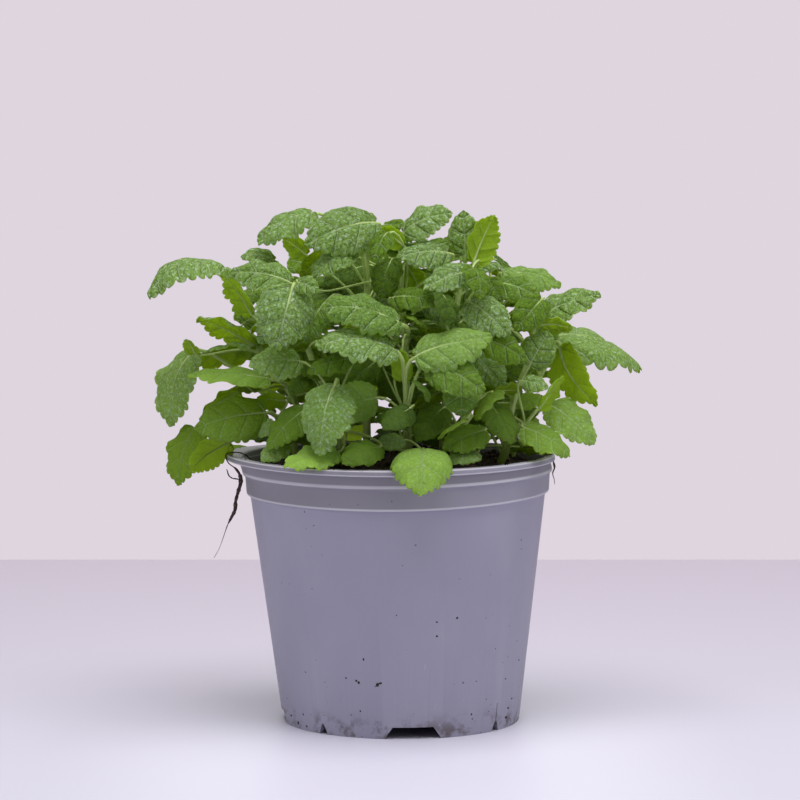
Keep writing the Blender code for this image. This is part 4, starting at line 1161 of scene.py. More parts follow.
def fit_leaf(name, shoot, blade, solids):
    """The blade's stalk if both fit clear of everything, otherwise None."""
    if not is_clear(blade_tree(blade, BREATHING_SPACE), name, solids, ()):
        return None
    start_z, top_z = stem_point(shoot, 0).z, stem_point(shoot, 1).z
    base = blade.rib[0]
    for drop in (0.6, 0.3, 1.0, 0.0):
        axis = stem_point(shoot, 1)
        reach = math.hypot(base.x - axis.x, base.y - axis.y)
        share = (base.z - drop * reach - start_z) / (top_z - start_z)
        steps = max(1, round((top_z - start_z) / LEAF_NODE_STEP))
        share = min(1.0, max(1.0 / steps, round(share * steps) / steps))
        for bend in BENDS:
            path = stalk_path(shoot, blade, share * 0.97, bend)
            points = stalk_points(blade, path)
            if not is_gentle(points):
                continue
            tree = tube_tree(points, STALK_FULLEST, BREATHING_SPACE)
            if is_clear(tree, name, solids, ("stem", "stalk")):
                return path
    return None


def keep(name, placed, solids, blade, path, source):
    """Adds a fitted leaf to its shoot, and to what later pieces keep clear of."""
    placed[name].append(PlacedLeaf(blade, path, source))
    solids.append(Solid(name, "blade", blade_tree(blade, 0.0)))
    solids.append(Solid(name, "stalk", tube_tree(stalk_points(blade, path), STALK_FULLEST, 0.0)))


# %% The solids' own leaves, in their own order
DEPTH_SHIFTS = (0, 4, -4, 8, -8, 12, -12, 16, -16, 20)
SHRINKS = (1.0, 0.92, 0.84)


def fit_measured(name, shoot, leaf, form, placed, solids):
    """Fits a measured leaf, sliding it along the line of sight where it would touch another."""
    for shrink in SHRINKS:
        for tilt in (0, 5, -5):
            for shift in DEPTH_SHIFTS:
                base = seen_at(leaf.base, leaf.depth[0] + shift)
                tip = seen_at(leaf.tip, leaf.depth[1] + shift + tilt)
                width = max(WIDTH_TO_LENGTH * (tip - base).length, leaf.seen_width * MM) * shrink
                face = facing(base, tip, leaf.seen_width * MM / width, leaf.shows)
                tip = base + (tip - base) * (0.5 + 0.5 * shrink)
                blade = Blade(base, tip, face, width, [b * MM for b in leaf.bow], *form)
                path = fit_leaf(name, shoot, blade, solids)
                if path:
                    keep(name, placed, solids, blade, path, leaf)
                    return


def place_measured(placed, solids, draw):
    """Fits every leaf that was read off the plant."""
    for name, shoot in SHOOTS.items():
        for leaf in shoot.leaves:
            cup = draw.uniform(-0.3, -0.05)
            twist, phase = draw.uniform(-0.3, 0.3), draw.uniform(0, FULL_TURN)
            fit_measured(name, shoot, leaf, (cup, twist, phase), placed, solids)


def seen_place(point):
    """(x, z) at which the point is seen against the axis plane."""
    on_plane = EYE + (point - EYE) * (-EYE.y / (point.y - EYE.y))
    return on_plane.x, on_plane.z


def is_within_reach(point):
    """Whether the point is inside the plant's rounded outline, seen from the eye, and not too far back."""
    x, z = seen_place(point)
    aside, above = (x - REACH_CENTRE[0]) / REACH[0], (z - REACH_CENTRE[1]) / REACH[1]
    return math.hypot(aside, above) < 1 and point.y < DEEPEST


BLADE_CORNERS = ((0, 0), (0.5, 1), (0.5, -1), (1, 0))


def place_by_rule(placed, solids, draw):
    """Grows the further leaves in opposite pairs, each pair square to the one below."""
    for name, shoot in SHOOTS.items():
        turn = draw.uniform(0, math.pi)
        grown = 0
        for attempt in range(shoot.extra * 16):
            if grown == shoot.extra:
                break
            pair, side = divmod(attempt, 2)
            share = 0.25 + 0.75 * draw.random()
            azimuth = turn + math.pi / 2 * pair + math.pi * side + draw.uniform(-0.5, 0.5)
            lift = draw.uniform(-0.1, 0.8) + 0.4 * share
            length = draw.uniform(22, 32) * MM * (1.08 - 0.25 * share)
            stalk = draw.uniform(9, 22) * MM
            out = Vector((math.cos(azimuth), math.sin(azimuth), 0))
            base = stem_point(shoot, share) + (out + Vector((0, 0, lift))).normalized() * stalk
            droop = draw.uniform(-0.75, 0.25)
            tip = base + (out + Vector((0, 0, droop))).normalized() * length
            face = Vector((0, 0, 1)) + out * draw.uniform(0, 0.6)
            bow = (draw.uniform(2, 5) * MM, draw.uniform(1, 4) * MM)
            form = (draw.uniform(-0.34, 0.0), draw.uniform(-0.5, 0.5), draw.uniform(0, FULL_TURN))
            blade = Blade(base, tip, face, length * draw.uniform(0.7, 0.82), bow, *form)
            if not all(is_within_reach(blade.spot(*corner)) for corner in BLADE_CORNERS):
                continue
            path = fit_leaf(name, shoot, blade, solids)
            if path:
                keep(name, placed, solids, blade, path, "rule")
                grown += 1


def ring_of(radius, z):
    """A level ring of points about the pot's axis."""
    return [Vector((math.cos(a) * radius, math.sin(a) * radius, z))
            for a in (2 * math.pi * k / 32 for k in range(32))]


collar_z = POT_HEIGHT - 12 * MM
lip_reach, lip_top = LIP_RADIUS + 0.4 * MM, POT_HEIGHT + 0.3 * MM
lip_rings = (lip_reach, collar_z), (lip_reach, lip_top), (NECK_RADIUS - 3 * MM, lip_top)
lip_tree = shell_tree([ring_of(radius, z) for radius, z in lip_rings])
wall_tree = shell_tree([ring_of(52 * MM, 10 * MM), ring_of(62.5 * MM, collar_z)])
mound = bmesh.new()
mound.from_mesh(frame["nodes"]["soil"].data)
bmesh.ops.remove_doubles(mound, verts=mound.verts[:], dist=0.0001 * MM)
mound_tree = BVHTree.FromBMesh(mound)
mound.free()

draw = random.Random(11)
solids = [Solid("", "obstacle", tree) for tree in (lip_tree, wall_tree, mound_tree)]
for name, shoot in SHOOTS.items():
    solids.append(Solid(name, "stem", tube_tree(stem_line(shoot)[1:], STEM_FOOT_RADIUS, 0.0)))
placed = {name: [] for name in SHOOTS}
place_measured(placed, solids, draw)
measured_blades = [solid.tree for solid in solids if solid.kind == "blade"]
place_by_rule(placed, solids, draw)

EDGE_SPOTS = ((0, 0), (1, 0), (0.4, 1), (0.4, -1), (0.2, 0.9), (0.2, -0.9), (0.7, 0.8), (0.7, -0.8))
worst = 0.0
for name, leaves in placed.items():
    low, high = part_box(name)
    spots = [leaf.blade.spot(*edge_spot) for leaf in leaves for edge_spot in EDGE_SPOTS]
    for i in range(3):
        worst = max(worst, low[i] - min(p[i] for p in spots), max(p[i] for p in spots) - high[i])
print("measured and rule leaves:", sum(len(leaves) for leaves in placed.values()),
      "- furthest outside a solid's box:", round(worst / MM, 2), "mm")

# %% [markdown]
# ## Filling the bush
#
# The real bush is nearly opaque: behind the leaves that can be told apart stand many small,
# shaded ones. They are grown here by looking. From several sides a line of sight is drawn
# through the bush, and where it meets nothing, a small leaf is put on it and joined by a stalk
# to the nearest stem, if both fit. A few places where the wall shows through are kept open.

# %% Small leaves where a line of sight meets nothing
FILL_SPACE = 0.25 * MM
# Where the wall shows between the leaves: (x, z) of an oval's middle and its half width and
# half height, in millimetres as seen against the axis plane
OPEN_PLACES = (
    (-81, 130, 7, 9), (-53, 132, 3.5, 3.5), (-62, 112, 4, 2), (-74, 151, 9, 4.5),
    (-62, 148.5, 3.5, 2.5), (-82, 170, 13, 7), (-45.5, 196, 4.5, 4.5), (-37, 193, 3, 2),
    (13, 199, 7, 4), (14.5, 184, 5, 2.2), (36.5, 181.5, 4.5, 1.2), (63.5, 136, 5.5, 7),
    (63, 122, 6.5, 8), (50, 129, 5, 1.8), (40.5, 118, 3.5, 3),
)
BUSH_CENTRE = (-3, 140)
BUSH_REACH = (76, 62)
SIGHT_STEP = 3.2
SIGHTS_ASIDE = range(-24, 25)
SIGHTS_UP = range(-20, 21)
LOOKS = (0, 180, 90, 270, 45, 315, 135, 225)
FILL_STALK_RADIUS = 0.5 * MM
FILL_TRIES = 16


def is_open_place(point):
    """Whether the point is seen where the wall has to show through."""
    x, z = (c / MM for c in seen_place(point))
    return any(math.hypot((x - cx) / rx, (z - cz) / rz) < 1 for cx, cz, rx, rz in OPEN_PLACES)


def is_blocked(eye, way, solids):
    """Whether this line of sight meets anything."""
    return any(solid.tree.ray_cast(eye, way)[0] is not None for solid in solids)


def hides_measured(point):
    """Whether this point stands in front of a blade that was read off the plant."""
    way = point - EYE
    reach = way.length + 0.5 * MM
    hits = [tree.ray_cast(EYE, way)[3] for tree in measured_blades]
    hits = [distance for distance in hits if distance is not None]
    return bool(hits) and min(hits) > reach


def stems_near(point):
    """The three nearest stems, each as (its shoot, how far up it)."""
    found = {}
    for name, shoot in SHOOTS.items():
        for share in (0.3, 0.5, 0.7, 0.9):
            stem = stem_point(shoot, share)
            apart = (stem - point).length + 4 * max(0.0, stem.z - point.z)
            found[name] = min(found.get(name, (1, 0)), (apart, share))
    return [(name, share) for (apart, share), name in sorted((v, k) for k, v in found.items())[:3]]


def fill_blade(spot, way, stem, roll):
    """A small blade whose middle is on this spot, pointing roughly away from the stem. What is
    drawn for it lies between 0 and 1."""
    swing, size, rise, turn_up, cup, twist, phase, breadth, bow = roll
    out = spot - stem
    out.z = 0
    out = Matrix.Rotation((swing - 0.5) * 2.2, 3, "Z") @ out.normalized()
    length = (12 + 15 * size**1.5) * MM
    ahead = (out + Vector((0, 0, -0.8 + 1.2 * rise))).normalized()
    base = spot - ahead * length * 0.5
    face = Vector((0, 0, 1)) - way.normalized() * (0.2 + 1.2 * turn_up)
    form = (-0.3 + 0.3 * cup, -0.4 + 0.8 * twist, FULL_TURN * phase)
    width = length * (0.72 + 0.12 * breadth)
    return Blade(base, base + ahead * length, face, width, (3 * bow * MM, 2 * MM), *form)


def fill_stalk(name, shoot, blade, share, solids):
    """A thin stalk from the stem to the blade, if one fits."""
    for drop in (0.0, -0.15, -0.3):
        for bend in BENDS[:8]:
            path = stalk_path(shoot, blade, max(0.1, share + drop), bend)
            points = stalk_points(blade, path)
            if not is_gentle(points):
                continue
            tree = tube_tree(points, FILL_STALK_RADIUS, 0.1 * MM)
            if is_clear(tree, name, solids, ("stem", "stalk")):
                return path
    return None


def grow_fill(placed, solids, draw):
    """Puts small leaves on the lines of sight that meet nothing, and gives their number."""
    grown = 0
    steps = [(i, k) for i in SIGHTS_ASIDE for k in SIGHTS_UP]
    for azimuth in LOOKS:
        turn = Matrix.Rotation(math.radians(azimuth), 3, "Z")
        eye = turn @ EYE
        draw.shuffle(steps)
        for i, k in steps:
            aim = Vector((BUSH_CENTRE[0] + i * SIGHT_STEP, 0, BUSH_CENTRE[1] + k * SIGHT_STEP))
            aside = (aim.x - BUSH_CENTRE[0]) / BUSH_REACH[0]
            above = (aim.z - BUSH_CENTRE[1]) / BUSH_REACH[1]
            furthest = 1.0 if azimuth == 0 else 0.86
            if math.hypot(aside, above) > furthest or aim.z * MM < POT_HEIGHT + 1 * MM:
                continue
            way = (turn @ (aim * MM)) - eye
            if is_blocked(eye, way, solids):
                continue
            for attempt in range(FILL_TRIES):
                depth = draw.uniform(-4 if azimuth == 0 else -24, 42) * MM
                roll = [draw.random() for n in range(9)]
                spot = eye + way * ((-EYE.y + depth) / -EYE.y)
                name, share = stems_near(spot)[attempt % 3]
                shoot = SHOOTS[name]
                blade = fill_blade(spot, way, stem_point(shoot, share), roll)
                corners = [blade.spot(*place) for place in (*BLADE_CORNERS, (0.5, 0))]
                if not all(is_within_reach(p) and abs(p.y) < DEEPEST for p in corners):
                    continue
                if any(is_open_place(p) or hides_measured(p) for p in corners):
                    continue
                if not is_clear(blade_tree(blade, FILL_SPACE), name, solids, ()):
                    continue
                path = fill_stalk(name, shoot, blade, share, solids)
                if path and not any(hides_measured(p) for p in sample(path, 5)):
                    keep(name, placed, solids, blade, path, "fill")
                    grown += 1
                    break
    return grown


print("fill leaves:", grow_fill(placed, solids, random.Random(23)))

# %% [markdown]
# ## A fine blade
#
# Lemon balm blades are quilted: the side veins and the net between them are sunk in, and the
# green between them is puffed up. The margin is cut in round teeth. A sheet is laid out whose
# rows run along the side veins, from the midrib to the margin, because relief that follows the
# rows needs far fewer faces than relief that crosses them. Near the stalk the rows fan out of
# one point, as the lowest veins do. The sheet is made once for each fineness, extruded to a
# thin closed body, and laid on each leaf's bent surface by one sum over all its points.

# %% The sheet and its outline
SWEEP = 0.26
TOOTH_DEPTH = 0.095
FINE_THICKNESS = 0.34 * MM


def rib_share(across, share):
    """How far along the midrib the row that ends here begins."""
    return np.maximum(0.0, share - SWEEP * across)


def blade_sheet(rows, columns):
    """A closed flat sheet. Its x is the row from stalk to tip, its y the way from the midrib to a
    margin, and its z is 0 on the upper side and -1 on the lower."""
    sheet = bmesh.new()
    bmesh.ops.create_grid(sheet, x_segments=rows, y_segments=2 * columns, size=0.5,
                          matrix=Matrix.Translation((0.5, 0, 0)) @ Matrix.Diagonal((1, 2, 1, 1)))
    start, end = [], []
    for vert in sheet.verts:
        share = (1 - math.cos(math.pi * vert.co.x)) / 2
        across = outline(math.pi * min(1.0, max(0.0, vert.co.x)))[1]
        if vert.co.x < 1e-5 or (abs(vert.co.y) < 1e-5 and rib_share(across, share) <= 0):
            start.append(vert)
        elif vert.co.x > 1 - 1e-5:
            end.append(vert)
    bmesh.ops.pointmerge(sheet, verts=start, merge_co=(0, 0, 0))
    bmesh.ops.pointmerge(sheet, verts=end, merge_co=(1, 0, 0))
    extruded = bmesh.ops.extrude_face_region(sheet, geom=sheet.faces[:])["geom"]
    lower = [part for part in extruded if isinstance(part, bmesh.types.BMVert)]
    bmesh.ops.translate(sheet, verts=lower, vec=(0, 0, -1))
    face_out(sheet)
    for face in sheet.faces:
        face.material_index = 1 if all(vert.co.z < -0.5 for vert in face.verts) else 0
        face.smooth = True
    for name in ("plan", "veins"):
        sheet.loops.layers.uv.new(name)
    for name in ("tone", "pitch", "quilt"):
        sheet.verts.layers.float.new(name)
    return sheet


def ridge(phase):
    """Rounded ridges that meet in sharp grooves, one for each whole number."""
    return np.abs(np.sin(math.pi * phase)) ** 0.55


class Sheet:
    """A sheet as a mesh, with its points' rows, ways and layers as arrays, and its teeth to a side."""

    def __init__(self, teeth, rows_a_tooth, columns):
        self.teeth = teeth
        # How much further on, in teeth but in whole rows, the teeth of one side stand
        self.shift = round(0.375 * rows_a_tooth) / rows_a_tooth
        body = blade_sheet(teeth * rows_a_tooth, columns)
        self.mesh = bpy.data.meshes.new(f"sheet_{teeth}")
        body.to_mesh(self.mesh)
        body.free()
        points = np.empty(len(self.mesh.vertices) * 3, np.float32)
        self.mesh.vertices.foreach_get("co", points)
        self.row, self.way, self.layer = points.reshape(-1, 3).T.astype(float)
        self.row = np.clip(self.row, 0, 1)
        self.corner = np.empty(len(self.mesh.loops), np.int32)
        self.mesh.loops.foreach_get("vertex_index", self.corner)
        print("sheet of", teeth, "teeth to a side:", len(self.mesh.polygons), "faces")

    def tooth(self):
        """1 at the middle of a tooth and 0 in the notch between two, a notch being on a row."""
        return ridge((self.row * self.teeth + np.where(self.way > 0, 0.5, 0.5 + self.shift)) % 1.0)

    def flat(self, row, depth):
        """(along, across) of the flat blade's points, if they were on these rows."""
        share = (1 - np.cos(math.pi * row)) / 2
        edge_across = edge_reach(share)
        edge_along = share - HEART_LOBE * edge_across * (1 - share) ** 6
        rib = rib_share(edge_across, share)
        reach = np.abs(self.way)
        along = rib + (edge_along - rib) * reach**1.15
        toothed = np.clip((row - 0.06) / 0.06, 0, 1) * (0.5 + 0.5 * np.clip((1 - row) / 0.1, 0, 1))
        inset = depth * (1 - self.tooth()) * toothed * reach**6
        along = along + (0.42 - along) * inset
        return along, np.sign(self.way) * edge_across * reach * (1 - inset)


# %% Relief and bending
def normal_rows(vectors):
    """Vectors as rows, each made one long."""
    return vectors / np.maximum(np.linalg.norm(vectors, axis=1, keepdims=True), 1e-12)


def along_rib(rib, s):
    """The points of the midrib's curve at many places, and the way that it runs there."""
    a, b, c, d = (np.array(p) for p in rib)
    s, u = s[:, None], 1 - s[:, None]
    point = a * u**3 + b * (3 * u * u * s) + c * (3 * u * s * s) + d * s**3
    slope = (b - a) * (3 * u * u) + (c - b) * (6 * u * s) + (d - c) * (3 * s * s)
    return point, normal_rows(slope)


def bent_points(blade, along, across, edge, lift, curls):
    """The same surface as Blade.spot for all the points of a sheet, its two margins curled."""
    s = np.clip(along, 0, 1)
    point, ahead = along_rib(blade.rib, s)
    up = np.array(blade.up)
    up = normal_rows(up - ahead * (ahead @ up)[:, None])
    turn = (blade.twist * (s - 0.3))[:, None]
    up = up * np.cos(turn) + np.cross(ahead, up) * np.sin(turn)
    side = np.cross(up, ahead)
    half = blade.width / 2
    ripple = 0.07 * np.sin(17.0 * along + blade.phase + np.where(across > 0, 1.6, 0.0))
    rise = half * across**2 * (blade.cup + ripple) + lift
    radius = np.where(across > 0, curls[0], curls[1])
    flat_reach = np.abs(across) * half
    kept = np.minimum(flat_reach, edge * half * 0.6)
    bend = (flat_reach - kept) / np.abs(radius)
    reach = kept + np.abs(radius) * np.sin(bend)
    rise = rise + radius * (1 - np.cos(bend))
    over = ahead * ((along - s) * blade.length)[:, None] + side * (np.sign(across) * reach)[:, None]
    return point + over + up * rise[:, None]


def quilting(sheet, across, blade, veins, crinkle):
    """How far each point is puffed up or sunk in, in metres."""
    reach = np.abs(sheet.way)
    across_mm = np.abs(across) * blade.width / 2 / MM
    band = sheet.row * veins
    brick = ridge(across_mm / 3.0 + 0.47 * np.floor(band) + blade.phase)
    split = ridge(2 * band) * ridge(across_mm / 2.3 + 0.31 * np.floor(2 * band))
    middle = np.clip(across_mm / 1.4, 0, 1)
    puff = (0.70 * ridge(band) + 0.48 * ridge(band) * brick + 0.32 * split) * (1 - reach**6) * middle
    groove = 0.5 * np.exp(-((across_mm / 0.8) ** 2)) * (1 - sheet.row)
    swing = 2 * math.pi * (sheet.row * 3.4 + 0.31 * blade.phase) + np.where(across > 0, 0, 2.1)
    wave = 0.8 * reach**3 * np.sin(swing)
    tips = -0.35 * sheet.tooth() * reach**6
    size = min(1.0, blade.length / (26 * MM))
    return (crinkle * (puff - groove) + wave + tips) * size * MM


sheets = {
    "fine": Sheet(teeth=12, rows_a_tooth=6, columns=12),
    "middle": Sheet(teeth=9, rows_a_tooth=5, columns=8),
    "plain": Sheet(teeth=7, rows_a_tooth=5, columns=6),
}


# %% A finished blade
MAP_UNITS_A_METRE = 100


def write_map(mesh, name, places):
    """Writes a flat map: a row of two numbers for each corner of the mesh."""
    mesh.uv_layers[name].data.foreach_set("uv", places.astype(np.float32).ravel())


def write_number(mesh, name, values):
    """Writes a number on each point, for the finish to read."""
    mesh.attributes[name].data.foreach_set("value", values.astype(np.float32))


def fine_blade(leaf, sheet, veins, crinkle, tone, draw):
    """The finished blade's mesh."""
    blade = leaf.blade
    along, across = sheet.flat(sheet.row, TOOTH_DEPTH)
    edge = edge_reach((1 - np.cos(math.pi * sheet.row)) / 2)
    lift = quilting(sheet, across, blade, veins, crinkle) - BLADE_THICKNESS / 2 + FINE_THICKNESS / 2
    curls = [draw.choice((-1, -1, -1, 1)) * draw.uniform(5, 14) * MM for side in range(2)]
    thick = FINE_THICKNESS * np.where(np.abs(sheet.way) > 0.999, 0.55, 1.0)
    points = bent_points(blade, along, across, edge, lift + sheet.layer * thick, curls)
    mesh = sheet.mesh.copy()
    mesh.vertices.foreach_set("co", points.astype(np.float32).ravel())
    flat_length = along * blade.length * MAP_UNITS_A_METRE
    flat_width = across * blade.width / 2 * MAP_UNITS_A_METRE
    plan = np.stack([flat_length + blade.phase, flat_width + tone * 7], axis=1)
    write_map(mesh, "plan", plan[sheet.corner])
    lines = np.stack([sheet.row * veins, sheet.way], axis=1)
    write_map(mesh, "veins", lines[sheet.corner])
    write_number(mesh, "tone", np.full(len(along), tone))
    write_number(mesh, "quilt", np.full(len(along), crinkle))
    step = 1e-3
    ahead = sheet.flat(np.clip(sheet.row + step, 0, 1), 0.0)
    behind = sheet.flat(np.clip(sheet.row - step, 0, 1), 0.0)
    apart = np.hypot((ahead[0] - behind[0]) * blade.length, (ahead[1] - behind[1]) * blade.width / 2)
    write_number(mesh, "pitch", apart / (2 * step * veins) / MM)
    return mesh


# %% [markdown]
# ## Leaf finishes
#
# The upper side is a waxy mid green with a pale bloom of short hairs, the midrib and side
# veins are paler lines in grooves, and the net between them is painted darker as shade in its
# grooves, as are thin lines beside the veins. The underside is paler and duller, with veins that
# stand out. Light passes through a blade and comes out a strong yellow green, so both sides mix
# in a Translucent shader, and less passes where the grooves are painted dark. The lines are drawn
# by the sheet's own rows, which follow the veins. A plain cell texture would make the net look
# like scales, so its cells are bent and broken, and wandering arcs are laid over them. Soft pale
# glints between the lines are painted highlights for the hairs that catch the light, and with the
# bloom they make a painted sheen, strongest on the leaves in light.

# %% Leaf finishes
PASSES = (0.72, 0.90, 0.035)
WORN_MARGIN = (0.13, 0.12, 0.045)
LEAF_IN_SHADE = (0.012, 0.035, 0.002)


def leaf_finish(name, upper, mature, young, bloom_and_sheen, net_and_groove_shade, vein_colour):
    """The finish of one side of the blades. Half of the light passes, so the colours that are
    given are twice as bright as they look."""
    finish = Finish(name, Specular_IOR_Level=0.20 if upper else 0.08)
    flat = finish.map("plan")
    row, way, _ = finish.axes(finish.map("veins"))
    tone, pitch, quilt = finish.number("tone"), finish.number("pitch"), finish.number("quilt")
    wobble = finish.grain(flat, 9.0, 2.0)
    patchy = finish.grain(flat, 8.0, 2.0)
    reach = abs(way)
    inner = reach.ease(0.86, 0.99)
    past_vein = ((row + (wobble - 0.5) * 0.16 + 0.5).part() - 0.5) * pitch
    vein = abs(past_vein).ease(0.10, 0.34 - reach * 0.12) * inner
    vein = vein.most(reach.ease(0.015, 0.05))
    # A painted shadow: a dark line beside each side vein
    vein_shadow = abs(past_vein - 0.42).ease(0.08, 0.46) * inner * (0.45 + patchy * 0.8)
    bent = finish.sum(flat, finish.sway(flat, 4.5, 0.18))
    bent = finish.sum(bent, finish.sway(flat, 15.0, 0.08))
    cells = finish.edges(finish.stretch(bent, (0.80, 1.0, 1.0)), 4.6)
    small = finish.edges(bent, 11.0)
    dashes = patchy.fade(0.36, 0.58)
    top = cells.fade(0.05, 0.34)
    broken = finish.grain(flat, 26.0, 2.0).fade(0.36, 0.60)
    arcs = abs(finish.grain(bent, 6.5, 2.0) - 0.5).ease(0.0, 0.04) * (0.60 + broken * 0.50)
    large_cells = cells.ease(0.01, 0.15) * (0.10 + dashes * 0.65)
    small_cells = small.ease(0.0, 0.15) * (1.0 - dashes) * 0.45
    # sunk: the net's cells, the arcs and the shadows beside the veins, one mask of the grooves that are
    # painted dark as shade
    sunk = large_cells.most(small_cells) * (0.25 + broken * 0.85)
    sunk = sunk.most(arcs).most(vein_shadow).least(1.0) * inner * quilt.least(1.0)
    # Painted highlights: pale glints between the grooves, for hairs that catch the light
    painted_glints = finish.grain(flat, 7.5, 3.0, 0.65).fade(0.49, 0.66) * (1.0 - sunk)
    blotch = finish.grain(flat, 2.1, 3.0)
    young_share = (tone + (blotch - 0.5) * 0.35 + reach * 0.06).fade(0.1, 0.9)
    old = young_share.ease(0.1, 0.75)
    flecks = finish.grain(flat, 22.0, 3.0, 0.7).fade(0.34, 0.66)
    colour = finish.mix(mature, young, young_share)
    # A painted sheen: the pale bloom, partly the hairs' own, is strongest on leaves in light, on the
    # cells' tops and at the glints
    lit_hairs = (tone + 0.15).fade(0.0, 0.35) * (0.35 + quilt * 0.65) * (0.35 + old * 0.65)
    sheen_and_glints = lit_hairs * (0.10 + top * 0.15 + painted_glints * 0.75) * (0.35 + blotch * 0.9 + flecks * 0.3)
    colour = finish.mix(colour, bloom_and_sheen, sheen_and_glints)
    # The net is painted darker: on the upper side this is shade in its grooves
    colour = finish.mix(colour, net_and_groove_shade, sunk * (0.60 + old * 0.35))
    lit = (1.0 + tone.least(0.0) * 1.8).most(0.0)
    colour = finish.mix(colour, vein_colour, vein * (0.30 + old * 0.35) * (0.25 + quilt * 0.75) * lit)
    worn = finish.grain(flat, 3.0, 2.0).fade(0.50, 0.66)
    colour = finish.mix(colour, WORN_MARGIN, reach.fade(0.94, 1.0) * (0.25 + worn * 0.5))
    # A tone below 0 paints the blade dark as shade, and less light passes it
    shade = 1.0 + tone.least(0.0)
    colour = finish.mix(LEAF_IN_SHADE, colour, shade)
    finish.feed("Base Color", colour)
    finish.feed("Roughness", (0.42 if upper else 0.7) + flecks * 0.14 + sunk * 0.15)
    if upper:
        height = top * 0.35 + flecks * 0.12 + painted_glints * 0.15 + vein * 0.25 - sunk * 0.6
    else:
        height = vein + sunk * 0.6 + flecks * 0.12
    finish.relief(height, 0.40 * MM if upper else 0.25 * MM)
    finish.let_through(PASSES, (0.2 + shade * 0.3) * (1.0 - sunk * 0.65))
    return finish


leaf_upper = leaf_finish(
    "leaf_upper",
    upper=True,
    mature=(0.165, 0.295, 0.028),
    young=(0.290, 0.480, 0.080),
    bloom_and_sheen=(0.74, 0.89, 0.74),
    net_and_groove_shade=(0.026, 0.072, 0.005),
    vein_colour=(0.60, 0.72, 0.42),
)
leaf_under = leaf_finish(
    "leaf_under",
    upper=False,
    mature=(0.25, 0.38, 0.035),
    young=(0.37, 0.56, 0.045),
    bloom_and_sheen=(0.32, 0.46, 0.08),
    net_and_groove_shade=(0.16, 0.26, 0.025),
    vein_colour=(0.40, 0.54, 0.12),
)

# %% Stem finish
STEM_IN_SOIL = (0.13, 0.17, 0.04)
STEM_PALE = (0.52, 0.64, 0.25)
STEM_STRIPE = (0.16, 0.24, 0.05)

stem_finish = Finish("stem_green", Specular_IOR_Level=0.4)
stem_place = stem_finish.place()
stem_z = stem_finish.axes(stem_place)[2]
stripe = stem_finish.grain(stem_finish.stretch(stem_place, (1.0, 1.0, 0.12)), 900.0, 2.0)
stem_colour = stem_finish.mix(STEM_IN_SOIL, STEM_PALE, stem_z.fade(0.104, 0.130))
stem_colour = stem_finish.mix(stem_colour, STEM_STRIPE, stripe.fade(0.45, 0.7) * 0.30)
stem_finish.feed("Base Color", stem_colour)
stem_finish.feed("Roughness", 0.45 + stripe * 0.2)
stem_finish.relief(stripe, 0.12 * MM)
stem_finish.let_through(PASSES, 0.3)

# %% [markdown]
# ## Tones
#
# Leaves differ: young ones are lime and old ones bluish, and dark ones carry painted shade. The tone
# of most leaves that can be told apart was read off the plant, and the others take one from a draw,
# with more painted shade towards the middle of the bush and near the soil.

# %% Tones of the leaves
# The key is a leaf's base, as (x, z); a tone below 0 paints the leaf dark as shade
TONES = {
    (9, 110): 0.55, (-26, 109): 0.70, (1, 193): 0.85, (1, 138): 0.9, (56, 127): 0.85, (-41, 146): 0.35,
    (-3, 151): 0.15, (6, 148): 0.48, (-10, 131): 0.60, (61, 128): 0.40, (-60, 165): 0.62,
    (-70, 113): 0.45, (29, 186): 0.6, (41, 182): 0.50, (40, 178): -0.05, (65, 151): 0.45,
    (60, 156): 0.35, (50, 119): 0.0, (-59, 151): 0.25, (-58, 152): 0.3, (-54, 139): 0.60,
    (-36, 206): 0.30, (-28, 190): 0.0, (-38, 189): 0.35, (3, 184): 0.5, (-10, 160): 0.35,
    (-42, 178): 0.05, (-9, 111): -0.45, (-38, 127): -0.10, (34, 118): -0.15, (31, 109): 0.25,
    (17, 127): -0.35, (37, 128): -0.40, (24, 137): 0.0, (-55, 125): -0.05, (-84, 119): -0.10,
    (-85, 149): 0.20, (17, 173): -0.60, (-13, 185): -0.55, (-10, 146): -0.35, (35, 179): -0.30,
    (-4, 187): -0.35, (29, 184): -0.15, (-3, 172): -0.25, (-6, 198): -0.15, (57, 171): -0.15,
    (34, 155): -0.15, (-1, 162): 0.0, (-30, 171): -0.05, (-21, 147): -0.20, (12, 145): -0.05,
    (57, 165): 0.10, (-17, 121): -0.15, (-45, 178): 0.08, (-20, 191): 0.05, (-10, 202): 0.12,
    (1, 114): 0.25, (-47, 130): 0.6, (47, 129): 0.6, (11, 172): 0.15, (52, 144): 0.05,
}


# The pale leaf over the lip at the front, by its base, is quilted this much
FRONT_LEAF = (9, 110)
FRONT_LEAF_QUILT = 0.50


def tone_of(leaf, draw):
    """0 for an old leaf and 1 for a young lime one, and below 0 for one painted dark as shade."""
    if isinstance(leaf.source, Leaf):
        return TONES.get(leaf.source.base, 0.16 + draw.uniform(-0.06, 0.08))
    centre = leaf.blade.spot(0.5, 0)
    inside = 1 - min(1.0, math.hypot(centre.x / 0.085, centre.y / 0.075, (centre.z - 0.13) / 0.08))
    if leaf.source == "fill":
        # Fill leaves get painted shade: more deep in the bush, and more low down at the front
        tone = draw.uniform(-0.30, -0.15) - 0.15 * inside
        low = max(0.0, 1 - (centre.z / MM - 112) / 40)
        tone -= 0.35 * low if centre.y < 30 * MM else 0.0
        # Fill leaves in the gap under the front leaves, between the pale stalks, get the deepest painted
        # shade of all
        in_deepest_shade = abs(centre.x - 2 * MM) < 14 * MM and centre.y < 0 and centre.z < 140 * MM
        return max(-0.80, tone - (0.35 if in_deepest_shade else 0.0))
    # Rule leaves get more painted shade deep in the bush
    return draw.uniform(-0.15, 0.30) - 0.4 * inside


